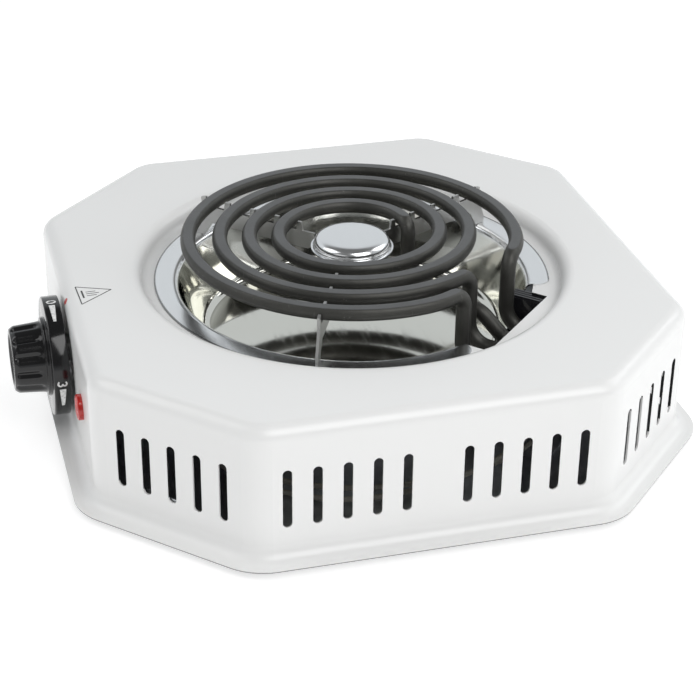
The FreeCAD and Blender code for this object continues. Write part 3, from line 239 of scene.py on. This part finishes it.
def area_lamp(name, direction, distance, size, radiance, colour=(1, 1, 1)):
    """A softbox that faces the object; its power is radiance times pi times its area."""
    data = bpy.data.lights.new(name, "AREA")
    data.shape = "RECTANGLE"
    data.size, data.size_y = size
    data.energy = radiance * math.pi * size[0] * size[1]
    data.color = colour
    lamp = bpy.data.objects.new(name, data)
    scene.collection.objects.link(lamp)
    toward = Vector(direction).normalized()
    turn = toward.to_track_quat("Z", "Y").to_matrix().to_4x4()
    lamp.matrix_world = Matrix.Translation(toward * distance) @ turn
    print(name, "power", round(data.energy, 2))


CEILING, SWEEP = (0.17, 0.171, 0.17), (0.74, 0.77, 0.79)
build_world()
area_lamp("key", (0.63, 0.23, 0.745), 1.3, (0.85, 0.85), 3.6)
area_lamp("right_box", (-0.15, -0.8, 0.9), 1.4, (0.8, 0.8), 1.8)
area_lamp("left_box", (-0.15, 1.0, 0.9), 1.4, (0.8, 0.8), 1.8)
area_lamp("front_fill", (0.75, -0.95, 0.55), 1.5, (0.9, 0.5), 0.6)
scene.view_settings.view_transform = "Standard"

# %% [markdown]
# ## Floor
# A plain pale surface. Much of its light is its own, so that it stays white to the edge of the
# picture.

# %% Floor
def plain_floor():
    mesh = bpy.data.meshes.new("floor")
    half = 4.0
    mesh.from_pydata([(-half, -half, 0), (half, -half, 0), (half, half, 0), (-half, half, 0)],
                     [], [(0, 1, 2, 3)])
    floor = bpy.data.objects.new("floor", mesh)
    scene.collection.objects.link(floor)
    skin = bpy.data.materials.new("floor_white")
    skin.use_nodes = True
    shader = skin.node_tree.nodes["Principled BSDF"]
    shader.inputs["Base Color"].default_value = (0.45, 0.45, 0.45, 1)
    shader.inputs["Roughness"].default_value = 0.6
    shader.inputs["Emission Color"].default_value = (1, 1, 1, 1)
    shader.inputs["Emission Strength"].default_value = 0.72
    mesh.materials.append(skin)


plain_floor()

# %% [markdown]
# ## Finishes
# A finish is a graph on a Principled shader. Constants go on the shader's own sockets. What
# varies is worked out from Object coordinates, which stay with the piece when it moves.

# %% Finish
class Finish(Graph):
    """One material on a Principled shader."""

    def __init__(self, name, **constants):
        self.material = bpy.data.materials.new(name)
        self.material.use_nodes = True
        super().__init__(self.material.node_tree)
        self.shader = self.tree.nodes["Principled BSDF"]
        self.surface(**constants)

    def surface(self, **sockets):
        for key, value in sockets.items():
            self.feed(self.shader.inputs[key.replace("_", " ").title().replace("Ior", "IOR")],
                      value)

    def place(self, scale=(1, 1, 1)):
        """Object coordinates, in metres, stretched by scale."""
        where = self.node("ShaderNodeTexCoord", output="Object")
        if scale == (1, 1, 1):
            return where
        return self.node("ShaderNodeMapping", {}, {"Vector": where, "Scale": scale})

    def axes(self):
        return self.split(self.place())

    def normals(self):
        return self.split(self.node("ShaderNodeNewGeometry", output="Normal"))

    def noise(self, scale, detail=2.0, rough=0.5, stretch=(1, 1, 1)):
        """Soft noise from 0 to 1; scale is in features a metre."""
        return self.node("ShaderNodeTexNoise", {},
                         {"Vector": self.place(stretch), "Scale": scale, "Detail": detail,
                          "Roughness": rough})

    def cells(self, scale, stretch=(1, 1, 1)):
        """Distance to the nearest of many scattered points."""
        return self.node("ShaderNodeTexVoronoi", {},
                         {"Vector": self.place(stretch), "Scale": scale}, "Distance")

    def rounded_normals(self, radius):
        """The surface's direction as if every edge were rounded to this radius."""
        return self.node("ShaderNodeBevel", {"samples": 6}, {"Radius": radius})

    def bumps(self, height, distance, strength=1.0, base=None):
        """Relief: height from 0 to 1, standing distance metres proud of the base normal."""
        sockets = {"Height": height, "Distance": distance, "Strength": strength}
        if base is not None:
            sockets["Normal"] = base
        self.surface(normal=self.node("ShaderNodeBump", {}, sockets, "Normal"))


# %% [markdown]
# ## Enamel
# Vitreous enamel is glass fused to steel. It is white and very glossy, with a faint orange
# peel and an occasional pinhole. A thin dark band along the bottom edge is painted shade. Inside
# the housing the faces are painted near black as shade, which is why the slots look black.

# %% White enamel
def white_enamel():
    finish = Finish("white_enamel", metallic=0.0, specular_ior_level=0.5)
    x, y, z = finish.axes()
    out_x, out_y, upward = finish.normals()
    radius = (x * x + y * y) ** 0.5
    outward = (x * out_x + y * out_y) / radius
    recess = (radius < MOUTH) * (z > top_z - RECESS_DEPTH - 0.0001)
    # painted shade: faces inside the housing that turn inward or down, such as the slot walls, are
    # coloured near black
    hidden = (outward < 0.05) * (upward < 0.05) * (1 - recess)
    shaded_inside = hidden.bigger((upward < -0.2) * (z < top_z - 0.003))
    cloud = finish.noise(9, 3)
    clean = finish.blend(cloud, (0.80, 0.80, 0.793), (0.835, 0.835, 0.83))
    # painted shade: a thin dark band along the housing's bottom edge, where the flange meets the floor
    low = z.step(house_low.z + 0.0007, house_low.z + 0.0002)
    bottom_shaded = finish.blend(low * 0.85, clean, (0.10, 0.10, 0.10))
    speck = finish.cells(160).step(0.035, 0.02) * finish.noise(30).step(0.60, 0.68)
    specked = finish.blend(speck * 0.4, bottom_shaded, (0.35, 0.33, 0.30))
    finish.surface(base_color=finish.blend(shaded_inside, specked, (0.010, 0.011, 0.012)),
                   roughness=finish.noise(25, 3) * 0.08 + 0.20 + shaded_inside * 0.4)
    peel = finish.noise(420, 1.0) * 0.7 + finish.noise(70, 1.0) * 0.3
    finish.bumps(peel, 0.00002, 0.4)
    return finish.material


# %% [markdown]
# ## Chrome
# Chrome plate is close to a mirror. What makes it look real is what spoils the mirror a
# little: faint wipe marks, a haze that changes over the surface, and a warm tint in the bowl,
# where the coil has heated it. The flange is a touch duller, with a thin line of painted shade at its
# outer edge.

# %% Bright chrome
def bright_chrome():
    finish = Finish("bright_chrome", metallic=1.0)
    x, y, z = finish.axes()
    radius = (x * x + y * y) ** 0.5
    rim = z.step(pan_high.z - 0.004, pan_high.z - 0.0008)
    # painted shade: a thin near-black line round the flange's outer edge
    edge = radius.step(pan_high.x - 0.0009, pan_high.x - 0.0003) * (radius > pan_high.x * 0.9)
    heat = finish.noise(14, 3)
    bowl = finish.blend(heat, (0.62, 0.615, 0.56), (0.70, 0.70, 0.66))
    plated = finish.blend(rim, bowl, (0.80, 0.81, 0.82))
    finish.surface(base_color=finish.blend(edge * 0.8, plated, (0.08, 0.08, 0.08)))
    wipes = finish.noise(60, 4, stretch=(1, 7, 1)).step(0.45, 0.75)
    haze = finish.noise(18, 2)
    grain = finish.noise(1800, 2)
    spots = finish.cells(240).step(0.09, 0.03) * finish.noise(22).step(0.5, 0.65)
    finish.surface(roughness=wipes * 0.05 + haze * 0.05 + spots * 0.12 + 0.03 + rim * 0.13)
    finish.bumps(finish.noise(30, 1.5) + grain * rim * 0.06, 0.00012, 0.35)
    return finish.material


# %% [markdown]
# ## Coil sheath
# The tube is a nickel alloy that has gone dark grey with heat. The tops were pressed flat, so
# pans polish them smoother than the sides; their paler tone is a painted highlight, and a Bevel
# node rolls the light over the flat's edge. There are fine scratches and a few pale specks of dust.

# %% Oxidised sheath
def coil_sheath():
    finish = Finish("coil_sheath", metallic=0.55, specular_ior_level=0.5)
    x, y, z = finish.axes()
    rolled = finish.rounded_normals(0.0012)
    facing = finish.split(rolled)[2]
    # the ring's upward-facing top: smoother from polish, and painted paler as a highlight
    polished_lit_top = facing.step(0.86, 0.99) * z.step(ring_top - 0.0016, ring_top - 0.0004)
    cloud = finish.noise(55, 4, 0.6)
    side = finish.blend(cloud, (0.038, 0.038, 0.034), (0.072, 0.071, 0.065))
    # painted highlight: the paler colour given to the top
    lit_top_tone = finish.blend(cloud, (0.085, 0.086, 0.086), (0.125, 0.127, 0.128))
    scratch = finish.noise(900, 2, stretch=(1, 1, 0.06)).step(0.66, 0.74)
    speck = finish.cells(700).step(0.16, 0.08) * finish.noise(90).step(0.58, 0.66)
    colour = finish.blend(polished_lit_top, side, lit_top_tone)
    colour = finish.blend(scratch * 0.20, colour, (0.22, 0.22, 0.21))
    colour = finish.blend(speck * 0.5, colour, (0.32, 0.32, 0.30))
    finish.surface(base_color=colour,
                   roughness=finish.noise(130, 3) * 0.22 + 0.34 - polished_lit_top * 0.12)
    finish.bumps(finish.noise(1500, 2) * 0.5 + finish.noise(260, 2) * 0.5, 0.00006, 0.5, rolled)
    return finish.material


# %% [markdown]
# ## Brushed and plated steels
# Strip and sheet parts differ in tone and grain, so one function takes the colour, the grain
# direction and the roughness, and four finishes come from it.

# %% Steels and other metals
def grained_metal(name, dark, light, stretch, rough, spangle=0.0):
    finish = Finish(name, metallic=1.0)
    grain = finish.noise(260, 3, stretch=stretch)
    patch = finish.noise(24, 3)
    if spangle:
        flakes = finish.node("ShaderNodeTexVoronoi", {},
                             {"Vector": finish.place(), "Scale": spangle}, "Color")
        bright = finish.node("ShaderNodeSeparateColor", {}, {0: flakes})
        patch = patch * 0.5 + bright * 0.5
    finish.surface(base_color=finish.blend(patch * 0.7 + grain * 0.3, dark, light),
                   roughness=grain * 0.16 + patch * 0.10 + rough)
    finish.bumps(grain, 0.00003, 0.5)
    return finish.material


# %% [markdown]
# ## Moulded plastics, rubber and ceramic
# These are not metals, so their colour comes from the body of the material. Each still gets
# its own surface: fine sink marks in phenolic, a matt tooth on rubber, pores in ceramic.

# %% Plastics, rubber, ceramic
def moulded(name, dark, light, rough, tooth, relief, coat=0.0):
    finish = Finish(name, metallic=0.0, coat_weight=coat, coat_roughness=0.06)
    patch = finish.noise(40, 3)
    fine = finish.noise(tooth, 2)
    scuff = finish.noise(500, 2, stretch=(1, 0.1, 1)).step(0.68, 0.76)
    finish.surface(base_color=finish.blend(patch * 0.7 + scuff * 0.3, dark, light),
                   roughness=patch * 0.10 + scuff * 0.12 + rough)
    finish.bumps(fine, relief, 0.5)
    return finish.material


def red_lens():
    finish = Finish("red_lens", metallic=0.0, coat_weight=0.6, coat_roughness=0.03, ior=1.49)
    x, y, z = finish.axes()
    across = (x - middle("lamp_lens").x) * 2200
    ribs = across.maths("SINE") * 0.5 + 0.5
    depth = finish.noise(400, 2)
    finish.surface(base_color=finish.blend(ribs * 0.5 + depth * 0.4, (0.40, 0.006, 0.005),
                                           (0.74, 0.022, 0.015)),
                   roughness=depth * 0.10 + 0.08)
    finish.bumps(ribs, 0.00015, 0.6)
    return finish.material


# %% Give every carried-over node its finish
enamel = white_enamel()
chrome = bright_chrome()
sheath = coil_sheath()
strip = grained_metal("stainless_strip", (0.42, 0.42, 0.41), (0.62, 0.62, 0.61), (1, 1, 0.05), 0.22)
zinc = grained_metal("zinc_plate", (0.45, 0.47, 0.49), (0.66, 0.68, 0.70), (1, 1, 1), 0.30, 180)
aluminised = grained_metal("aluminised_sheet", (0.50, 0.51, 0.52), (0.70, 0.71, 0.72), (0.1, 1, 1),
                           0.28, 90)
brass = grained_metal("brass", (0.50, 0.36, 0.14), (0.78, 0.60, 0.28), (1, 0.1, 1), 0.24)
phenolic = moulded("black_phenolic", (0.004, 0.004, 0.0045), (0.010, 0.010, 0.011), 0.07, 300,
                   0.00001)
ribbed_black = moulded("ribbed_black", (0.010, 0.010, 0.012), (0.026, 0.026, 0.030), 0.12, 500,
                       0.00003, 0.2)
rubber = moulded("black_rubber", (0.018, 0.018, 0.018), (0.040, 0.040, 0.039), 0.62, 1400, 0.00006)
ceramic = moulded("white_ceramic", (0.62, 0.59, 0.52), (0.80, 0.78, 0.72), 0.55, 900, 0.00008)
nylon = moulded("white_nylon", (0.60, 0.60, 0.57), (0.76, 0.76, 0.73), 0.38, 600, 0.00003)
sleeve = moulded("glass_sleeve", (0.50, 0.48, 0.42), (0.72, 0.70, 0.64), 0.70, 2600, 0.00015)
sleeve_green = moulded("earth_sleeve", (0.07, 0.22, 0.05), (0.14, 0.36, 0.09), 0.50, 2600, 0.0001)
lens = red_lens()

FINISHES = {
    "white_enamel": enamel, "chrome_plate": chrome, "coil_sheath": sheath,
    "stainless_strip": strip, "zinc_steel": zinc, "aluminised_sheet": aluminised,
    "brass_parts": brass, "black_phenolic": phenolic, "black_rubber": rubber,
    "ceramic_white": ceramic, "white_nylon": nylon, "lead_sleeve": sleeve,
    "lead_green": sleeve_green, "red_lens": lens,
}
SINGLE = {"terminal_block": ribbed_black}
slots = {row["node"]: row["material_slot"] for row in frame["record"]["subparts"]}
for name, thing in nodes.items():
    thing.data.materials.clear()
    thing.data.materials.append(SINGLE.get(name, FINISHES[slots[name]]))

# %% [markdown]
# ## Surfaces from arrays
# A turned or pressed piece is a grid of points: rows run along its profile and columns run
# round it. The whole grid is one numpy array, so a new shape is a new formula. A row whose
# points coincide is a pole, and merging those points closes it.

# %% Grid surfaces
def mesh_from_grids(name, grids):
    """One mesh from grids of shape (rows, columns, 3), each closed round its columns."""
    made = bmesh.new()
    for grid in grids:
        rows, columns = grid.shape[:2]
        index = np.arange(rows * columns).reshape(rows, columns)
        beside = np.roll(index, -1, axis=1)
        quads = np.stack([index[:-1], beside[:-1], beside[1:], index[1:]], axis=-1)
        mesh = bpy.data.meshes.new(name)
        mesh.from_pydata(grid.reshape(-1, 3).tolist(), [], quads.reshape(-1, 4).tolist())
        part = bmesh.new()
        part.from_mesh(mesh)
        bmesh.ops.remove_doubles(part, verts=part.verts, dist=1e-7)
        if part.calc_volume(signed=True) < 0:
            bmesh.ops.reverse_faces(part, faces=part.faces)
        part.to_mesh(mesh)
        part.free()
        made.from_mesh(mesh)
        bpy.data.meshes.remove(mesh)
    mesh = bpy.data.meshes.new(name)
    made.to_mesh(mesh)
    made.free()
    return mesh


def piece(name, grids, material, body, smooth=True, stands_for=()):
    """A finished piece: mesh, shading, material, the body it rides on and what it replaces."""
    mesh = mesh_from_grids(name, grids)
    mesh.materials.append(material)
    mesh.polygons.foreach_set("use_smooth", np.full(len(mesh.polygons), smooth))
    thing = bpy.data.objects.new(name, mesh)
    scene.collection.objects.link(thing)
    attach(thing, body)
    if stands_for:
        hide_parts(*stands_for)
    print(name, len(mesh.vertices), "points", len(mesh.polygons), "faces")
    return thing


def rounded(corners, steps=5):
    """A profile through (radius, height, rounding) corners, in millimetres.

    Each corner becomes a quadratic curve that leaves one side and joins the next at the
    rounding's distance from the corner: (1-t)^2 a + 2t(1-t) corner + t^2 b.
    """
    spots = np.array([corner[:2] for corner in corners], float)
    points = [spots[:1]]
    blend = np.linspace(0, 1, steps)[:, None]
    for before, corner, after, (_, _, trim) in zip(spots, spots[1:], spots[2:], corners[1:-1]):
        into = corner + (before - corner) * trim / np.linalg.norm(before - corner)
        out = corner + (after - corner) * trim / np.linalg.norm(after - corner)
        points.append((1 - blend) ** 2 * into + 2 * blend * (1 - blend) * corner
                      + blend ** 2 * out)
    return np.vstack(points + [spots[-1:]])


def turned(profile, columns, centre, tilt=None, ripple=None):
    """Profile (radius, height) in millimetres turned round an axis through centre.

    The point at angle a is (r cos a, r sin a, h); ripple(a, r, h) changes r. tilt turns the
    axis from +Z to where the piece points.
    """
    angle = np.linspace(0, 2 * np.pi, columns, endpoint=False)[None, :]
    r, h = profile[:, :1], profile[:, 1:]
    r = r + np.zeros_like(angle) if ripple is None else ripple(angle, r, h)
    grid = np.stack([r * np.cos(angle), r * np.sin(angle), h + 0 * angle], axis=-1) * 0.001
    if tilt is not None:
        grid = grid @ np.array(tilt.to_3x3()).T
    return grid + np.array(centre)


FORWARD = Matrix.Rotation(math.radians(90), 4, "X")
print("axis forward", [round(value, 3) for value in FORWARD @ Vector((0, 0, 1))])

# %% [markdown]
# ## The knob
# One moulding: a wide skirt that carries the scale and a tapered grip with twelve finger
# flutes. The flutes fade out at both ends of the grip, which a plain cut doesn't do, so the
# radius is a formula: the grip's radius less a narrow cosine power, times a window along it.

# %% Knob
skirt_y = knob_high.y
SKIRT, GRIP, SKIRT_DEEP, KNOB_DEEP = knob_radius * 1000, 15.4, 7.0, 22.0
FLUTES, FLUTE_DEEP = 12, 1.15


def grip_flutes(angle, radius, height):
    """r less depth times (half a cosine wave of 12 turns) cubed, where the grip is."""
    window = (np.clip((height - 9.2) / 2.5, 0, 1) * np.clip((KNOB_DEEP - 0.4 - height) / 1.2, 0, 1)
              * (radius > GRIP - 3))
    wave = (0.5 + 0.5 * np.cos(FLUTES * angle)) ** 3
    return radius - FLUTE_DEEP * wave * window


def knob_profile():
    grip = np.array([(GRIP - h * 0.075, SKIRT_DEEP + 2.2 + h) for h in np.linspace(0, 10.6, 12)])
    outside = rounded([(SKIRT - 2.2, 0, 0), (SKIRT, 0, 0.5), (SKIRT, SKIRT_DEEP, 0.7),
                       (GRIP + 1.7, SKIRT_DEEP, 0.4), (GRIP + 1.5, SKIRT_DEEP + 1.5, 0.5),
                       (GRIP + 0.1, SKIRT_DEEP + 1.6, 0.3), tuple(grip[0]) + (0,)])
    tip = rounded([tuple(grip[-1]) + (0,), (GRIP - 1.0, KNOB_DEEP - 1.6, 0.5),
                   (GRIP - 2.2, KNOB_DEEP, 0.7), (GRIP - 4.2, KNOB_DEEP, 0.5),
                   (GRIP - 5.2, KNOB_DEEP - 0.9, 0.5), (GRIP - 9.0, KNOB_DEEP - 1.1, 0.5),
                   (0, KNOB_DEEP - 1.1, 0)])
    hollow = np.array([(0, 3.0), (3.2, 3.0), (3.2, 0.0), (7.0, 0.0), (7.0, 4.8),
                       (SKIRT - 2.2, 4.8)])
    return np.vstack([hollow, outside, grip[1:-1], tip])


knob_place = (0.0, skirt_y, knob_centre.z)
piece("control_knob", [turned(knob_profile(), 240, knob_place, FORWARD, grip_flutes)],
      phenolic, "dial", stands_for=("knob",))

# %% [markdown]
# ## The scale
# Digits and wedges are printed on the skirt's band. Each stroke is a ribbon: a centreline in
# flat millimetres (right, up), given a width, then rolled round the band. Right on the paper
# becomes an angle, and up on the paper points to the housing.

# %% Ribbons and the dial marks
def ribbon(path, width, surface, thick=0.05, closed=False):
    """A raised line: path (n, 2) and width in millimetres; surface maps (right, up, lift)."""
    path = np.array(path, float)
    if closed:
        ahead = np.roll(path, -1, axis=0) - np.roll(path, 1, axis=0)
    else:
        ahead = np.gradient(path, axis=0)
    side = np.stack([-ahead[:, 1], ahead[:, 0]], axis=1)
    side = side / np.linalg.norm(side, axis=1, keepdims=True) * (np.array(width) / 2).reshape(-1, 1)
    left, right = path + side, path - side
    rows = [np.column_stack([edge, np.full(len(path), lift)])
            for edge, lift in ((left, -thick), (left, thick), (right, thick), (right, -thick))]
    grid = np.stack(rows, axis=1)
    if closed:
        grid = np.concatenate([grid, grid[:1]])
    else:
        grid = np.concatenate([grid[:1].mean(axis=1, keepdims=True).repeat(4, axis=1), grid,
                               grid[-1:].mean(axis=1, keepdims=True).repeat(4, axis=1)])
    return surface(grid[..., 0], grid[..., 1], grid[..., 2])


def arc(centre, radii, start, end, steps=14):
    angle = np.radians(np.linspace(start, end, steps))
    return np.stack([centre[0] + radii[0] * np.cos(angle),
                     centre[1] + radii[1] * np.sin(angle)], axis=1)


def line(start, end, steps=6):
    return np.linspace(start, end, steps)


DIGIT_STROKES = {
    0: [(arc((0, 0), (1.1, 1.75), 0, 360, 33)[:-1], True)],
    1: [(line((0.2, 1.75), (0.2, -1.8)), False), (line((-0.7, 1.0), (0.2, 1.75)), False)],
    2: [(np.vstack([arc((0, 0.75), (1.05, 1.0), 160, -35), line((0.75, 0.0), (-1.1, -1.7))[1:]]),
         False), (line((-1.2, -1.75), (1.2, -1.75)), False)],
    3: [(arc((0, 0.85), (0.95, 0.9), 150, -90), False),
        (arc((0, -0.85), (1.1, 0.95), 90, -150), False)],
}


def band(turn):
    """The skirt's band: angle turn plus right over the radius, up towards the housing."""
    middle_y = skirt_y - SKIRT_DEEP * 0.0005

    def surface(right, up, lift):
        angle = turn + right / SKIRT
        radius = (SKIRT + lift) * 0.001
        return np.stack([radius * np.sin(angle), middle_y + up * 0.001 + 0 * angle,
                         knob_centre.z + radius * np.cos(angle)], axis=-1)
    return surface


DIGIT_LINE, WEDGE_FROM, WEDGE_TO = 0.72, math.radians(6), math.radians(28)
WEDGE_WIDE, WEDGE_THIN = 2.7, 1.2


def dial_marks():
    """Four digits a quarter turn apart, each followed by a wedge that narrows round the band."""
    grids = []
    for digit in range(4):
        turn = math.radians(-90 * digit)
        for path, closed in DIGIT_STROKES[digit]:
            grids.append(ribbon(path, DIGIT_LINE, band(turn), closed=closed))
        wedge = line((WEDGE_FROM * SKIRT, 0), (WEDGE_TO * SKIRT, 0), 14)
        grids.append(ribbon(wedge, np.linspace(WEDGE_WIDE, WEDGE_THIN, 14), band(turn)))
    return grids


# %% Printed finishes and marks
def printed(name, dark, light, rough):
    finish = Finish(name, metallic=0.0)
    wear = finish.noise(900, 3)
    finish.surface(base_color=finish.blend(wear.step(0.30, 0.62), dark, light),
                   roughness=wear * 0.2 + rough)
    finish.bumps(wear, 0.00002, 0.4)
    return finish.material


white_print = printed("white_print", (0.55, 0.56, 0.56), (0.82, 0.82, 0.81), 0.30)
black_print = printed("black_print", (0.05, 0.05, 0.05), (0.018, 0.018, 0.018), 0.35)
red_print = printed("red_print", (0.42, 0.010, 0.008), (0.62, 0.022, 0.016), 0.25)
piece("dial_marks", dial_marks(), white_print, "dial", smooth=False)

# %% [markdown]
# ## Marks on the enamel
# A heat sign lies on the flat top: a triangle in outline with plain bars. A red dot on the
# rounded front edge points at the scale. The dot's surface is the edge's own cylinder.

# %% Heat sign and index dot
SIGN_CORNERS = np.array([(-3.3, -120.7), (13.0, -120.1), (2.5, -106.3)])
EDGE_ROUND, DOT_TILT = 0.0065, math.radians(62)
DOT_ACROSS, DOT_RADIUS = 2.2, 1.5


def flat_top(right, up, lift):
    return np.stack([right, up, top_z * 1000 + lift], axis=-1) * 0.001


def heat_sign():
    middle = SIGN_CORNERS.mean(axis=0)
    base = (SIGN_CORNERS[1] - SIGN_CORNERS[0]) / np.linalg.norm(SIGN_CORNERS[1] - SIGN_CORNERS[0])
    rise = np.array([-base[1], base[0]])
    grids = [ribbon(line(SIGN_CORNERS[i], SIGN_CORNERS[(i + 1) % 3]), 0.45, flat_top)
             for i in range(3)]
    foot = middle - rise * 2.9
    grids.append(ribbon(line(foot - base * 3.4, foot + base * 3.4), 0.75, flat_top))
    for side in (-1, 0, 1):
        start = foot + rise * 1.5 + base * side * 1.7
        grids.append(ribbon(line(start, start + rise * (5.4 - abs(side) * 1.2)), 0.4, flat_top))
    return grids


def front_edge(right, up, lift):
    """The rounded top edge: up is an arc length from the dot's tilt towards the flat top."""
    angle = DOT_TILT - up * 0.001 / EDGE_ROUND
    radius = EDGE_ROUND + lift * 0.001
    return np.stack([right * 0.001 + 0 * angle, FRONT + EDGE_ROUND - radius * np.sin(angle),
                     top_z - EDGE_ROUND + radius * np.cos(angle)], axis=-1)


def index_dot():
    """A disc as a ribbon whose width is the chord: 2 r sqrt(1 - t^2)."""
    t = np.linspace(-0.98, 0.98, 15)
    path = np.stack([np.full(15, DOT_ACROSS), t * DOT_RADIUS], axis=1)
    return [ribbon(path, 2 * DOT_RADIUS * np.sqrt(1 - t ** 2), front_edge)]


piece("heat_sign", heat_sign(), black_print, "chassis", smooth=False)
piece("index_dot", index_dot(), red_print, "chassis", smooth=False)

# %% [markdown]
# ## Medallion cap
# The cap at the coil's middle is drawn from thin sheet: a slightly domed top, a wide soft
# shoulder and a rolled hem. The dome matters: on a dead flat top the chrome mirrors one tone,
# and the shoulder turns the mirror from the pale sweep to the dark ceiling.

# %% Medallion cap
cap_low, cap_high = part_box("medallion_cap")
CAP = (cap_high.x - cap_low.x) * 500
cap_rise = (cap_high.z - cap_low.z) * 1000


def cap_profile():
    dome = [(r, cap_rise - 0.7 * (r / CAP) ** 2) for r in np.linspace(0, CAP - 4.5, 12)]
    edge = rounded([dome[-1] + (0,), (CAP - 0.5, cap_rise - 1.1, 3.2),
                    (CAP - 0.4, 0.9, 0.5), (CAP, 0.45, 0.25), (CAP, 0, 0.15), (CAP - 0.9, 0, 0.1),
                    (CAP - 1.3, cap_rise - 2.2, 1.5), (0, cap_rise - 1.2, 0)], 9)
    return np.vstack([np.array(dome), edge[1:]])


piece("cap_shell", [turned(cap_profile(), 160, (0, 0, cap_low.z))], chrome, "element",
      stands_for=("medallion_cap",))

# %% [markdown]
# ## Pilot lens
# The lens is moulded in clear red with fine upright ribs inside a plain bezel. The ribs are
# real: the height of the front face is a wave across it that dies out at the bezel.

# %% Pilot lens
lens_low, lens_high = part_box("lamp_lens")
LENS = (lens_high.x - lens_low.x) * 500
lens_centre = ((lens_low.x + lens_high.x) / 2, FRONT, (lens_low.z + lens_high.z) / 2)
lens_out = (FRONT - lens_low.y) * 1000
stem = (lens_high.y - FRONT) * 1000


def lens_grid():
    """Rings from the middle outwards; the face's height is a wave of the sideways place."""
    profile = np.vstack([[(0, -stem), (LENS - 1.1, -stem), (LENS - 1.1, 0), (LENS, 0)],
                         rounded([(LENS, 0.02, 0), (LENS, lens_out - 0.5, 0.4),
                                  (LENS - 0.8, lens_out - 0.1, 0.3), (LENS - 1.0, lens_out - 0.3, 0)]),
                         [(r, lens_out - 0.35) for r in np.linspace(LENS - 1.1, 0, 16)]])
    grid = turned(profile, 96, (0, 0, 0)) * 1000
    inner = np.hypot(grid[..., 0], grid[..., 1]) < LENS - 1.05
    face = inner & (grid[..., 2] > 0.5)
    wave = 0.3 * np.cos(grid[..., 0] * 2 * np.pi / 1.3) * face
    grid[..., 2] += wave
    return grid * 0.001 @ np.array(FORWARD.to_3x3()).T + np.array(lens_centre)


piece("pilot_lens", [lens_grid()], lens, "chassis", stands_for=("lamp_lens",))
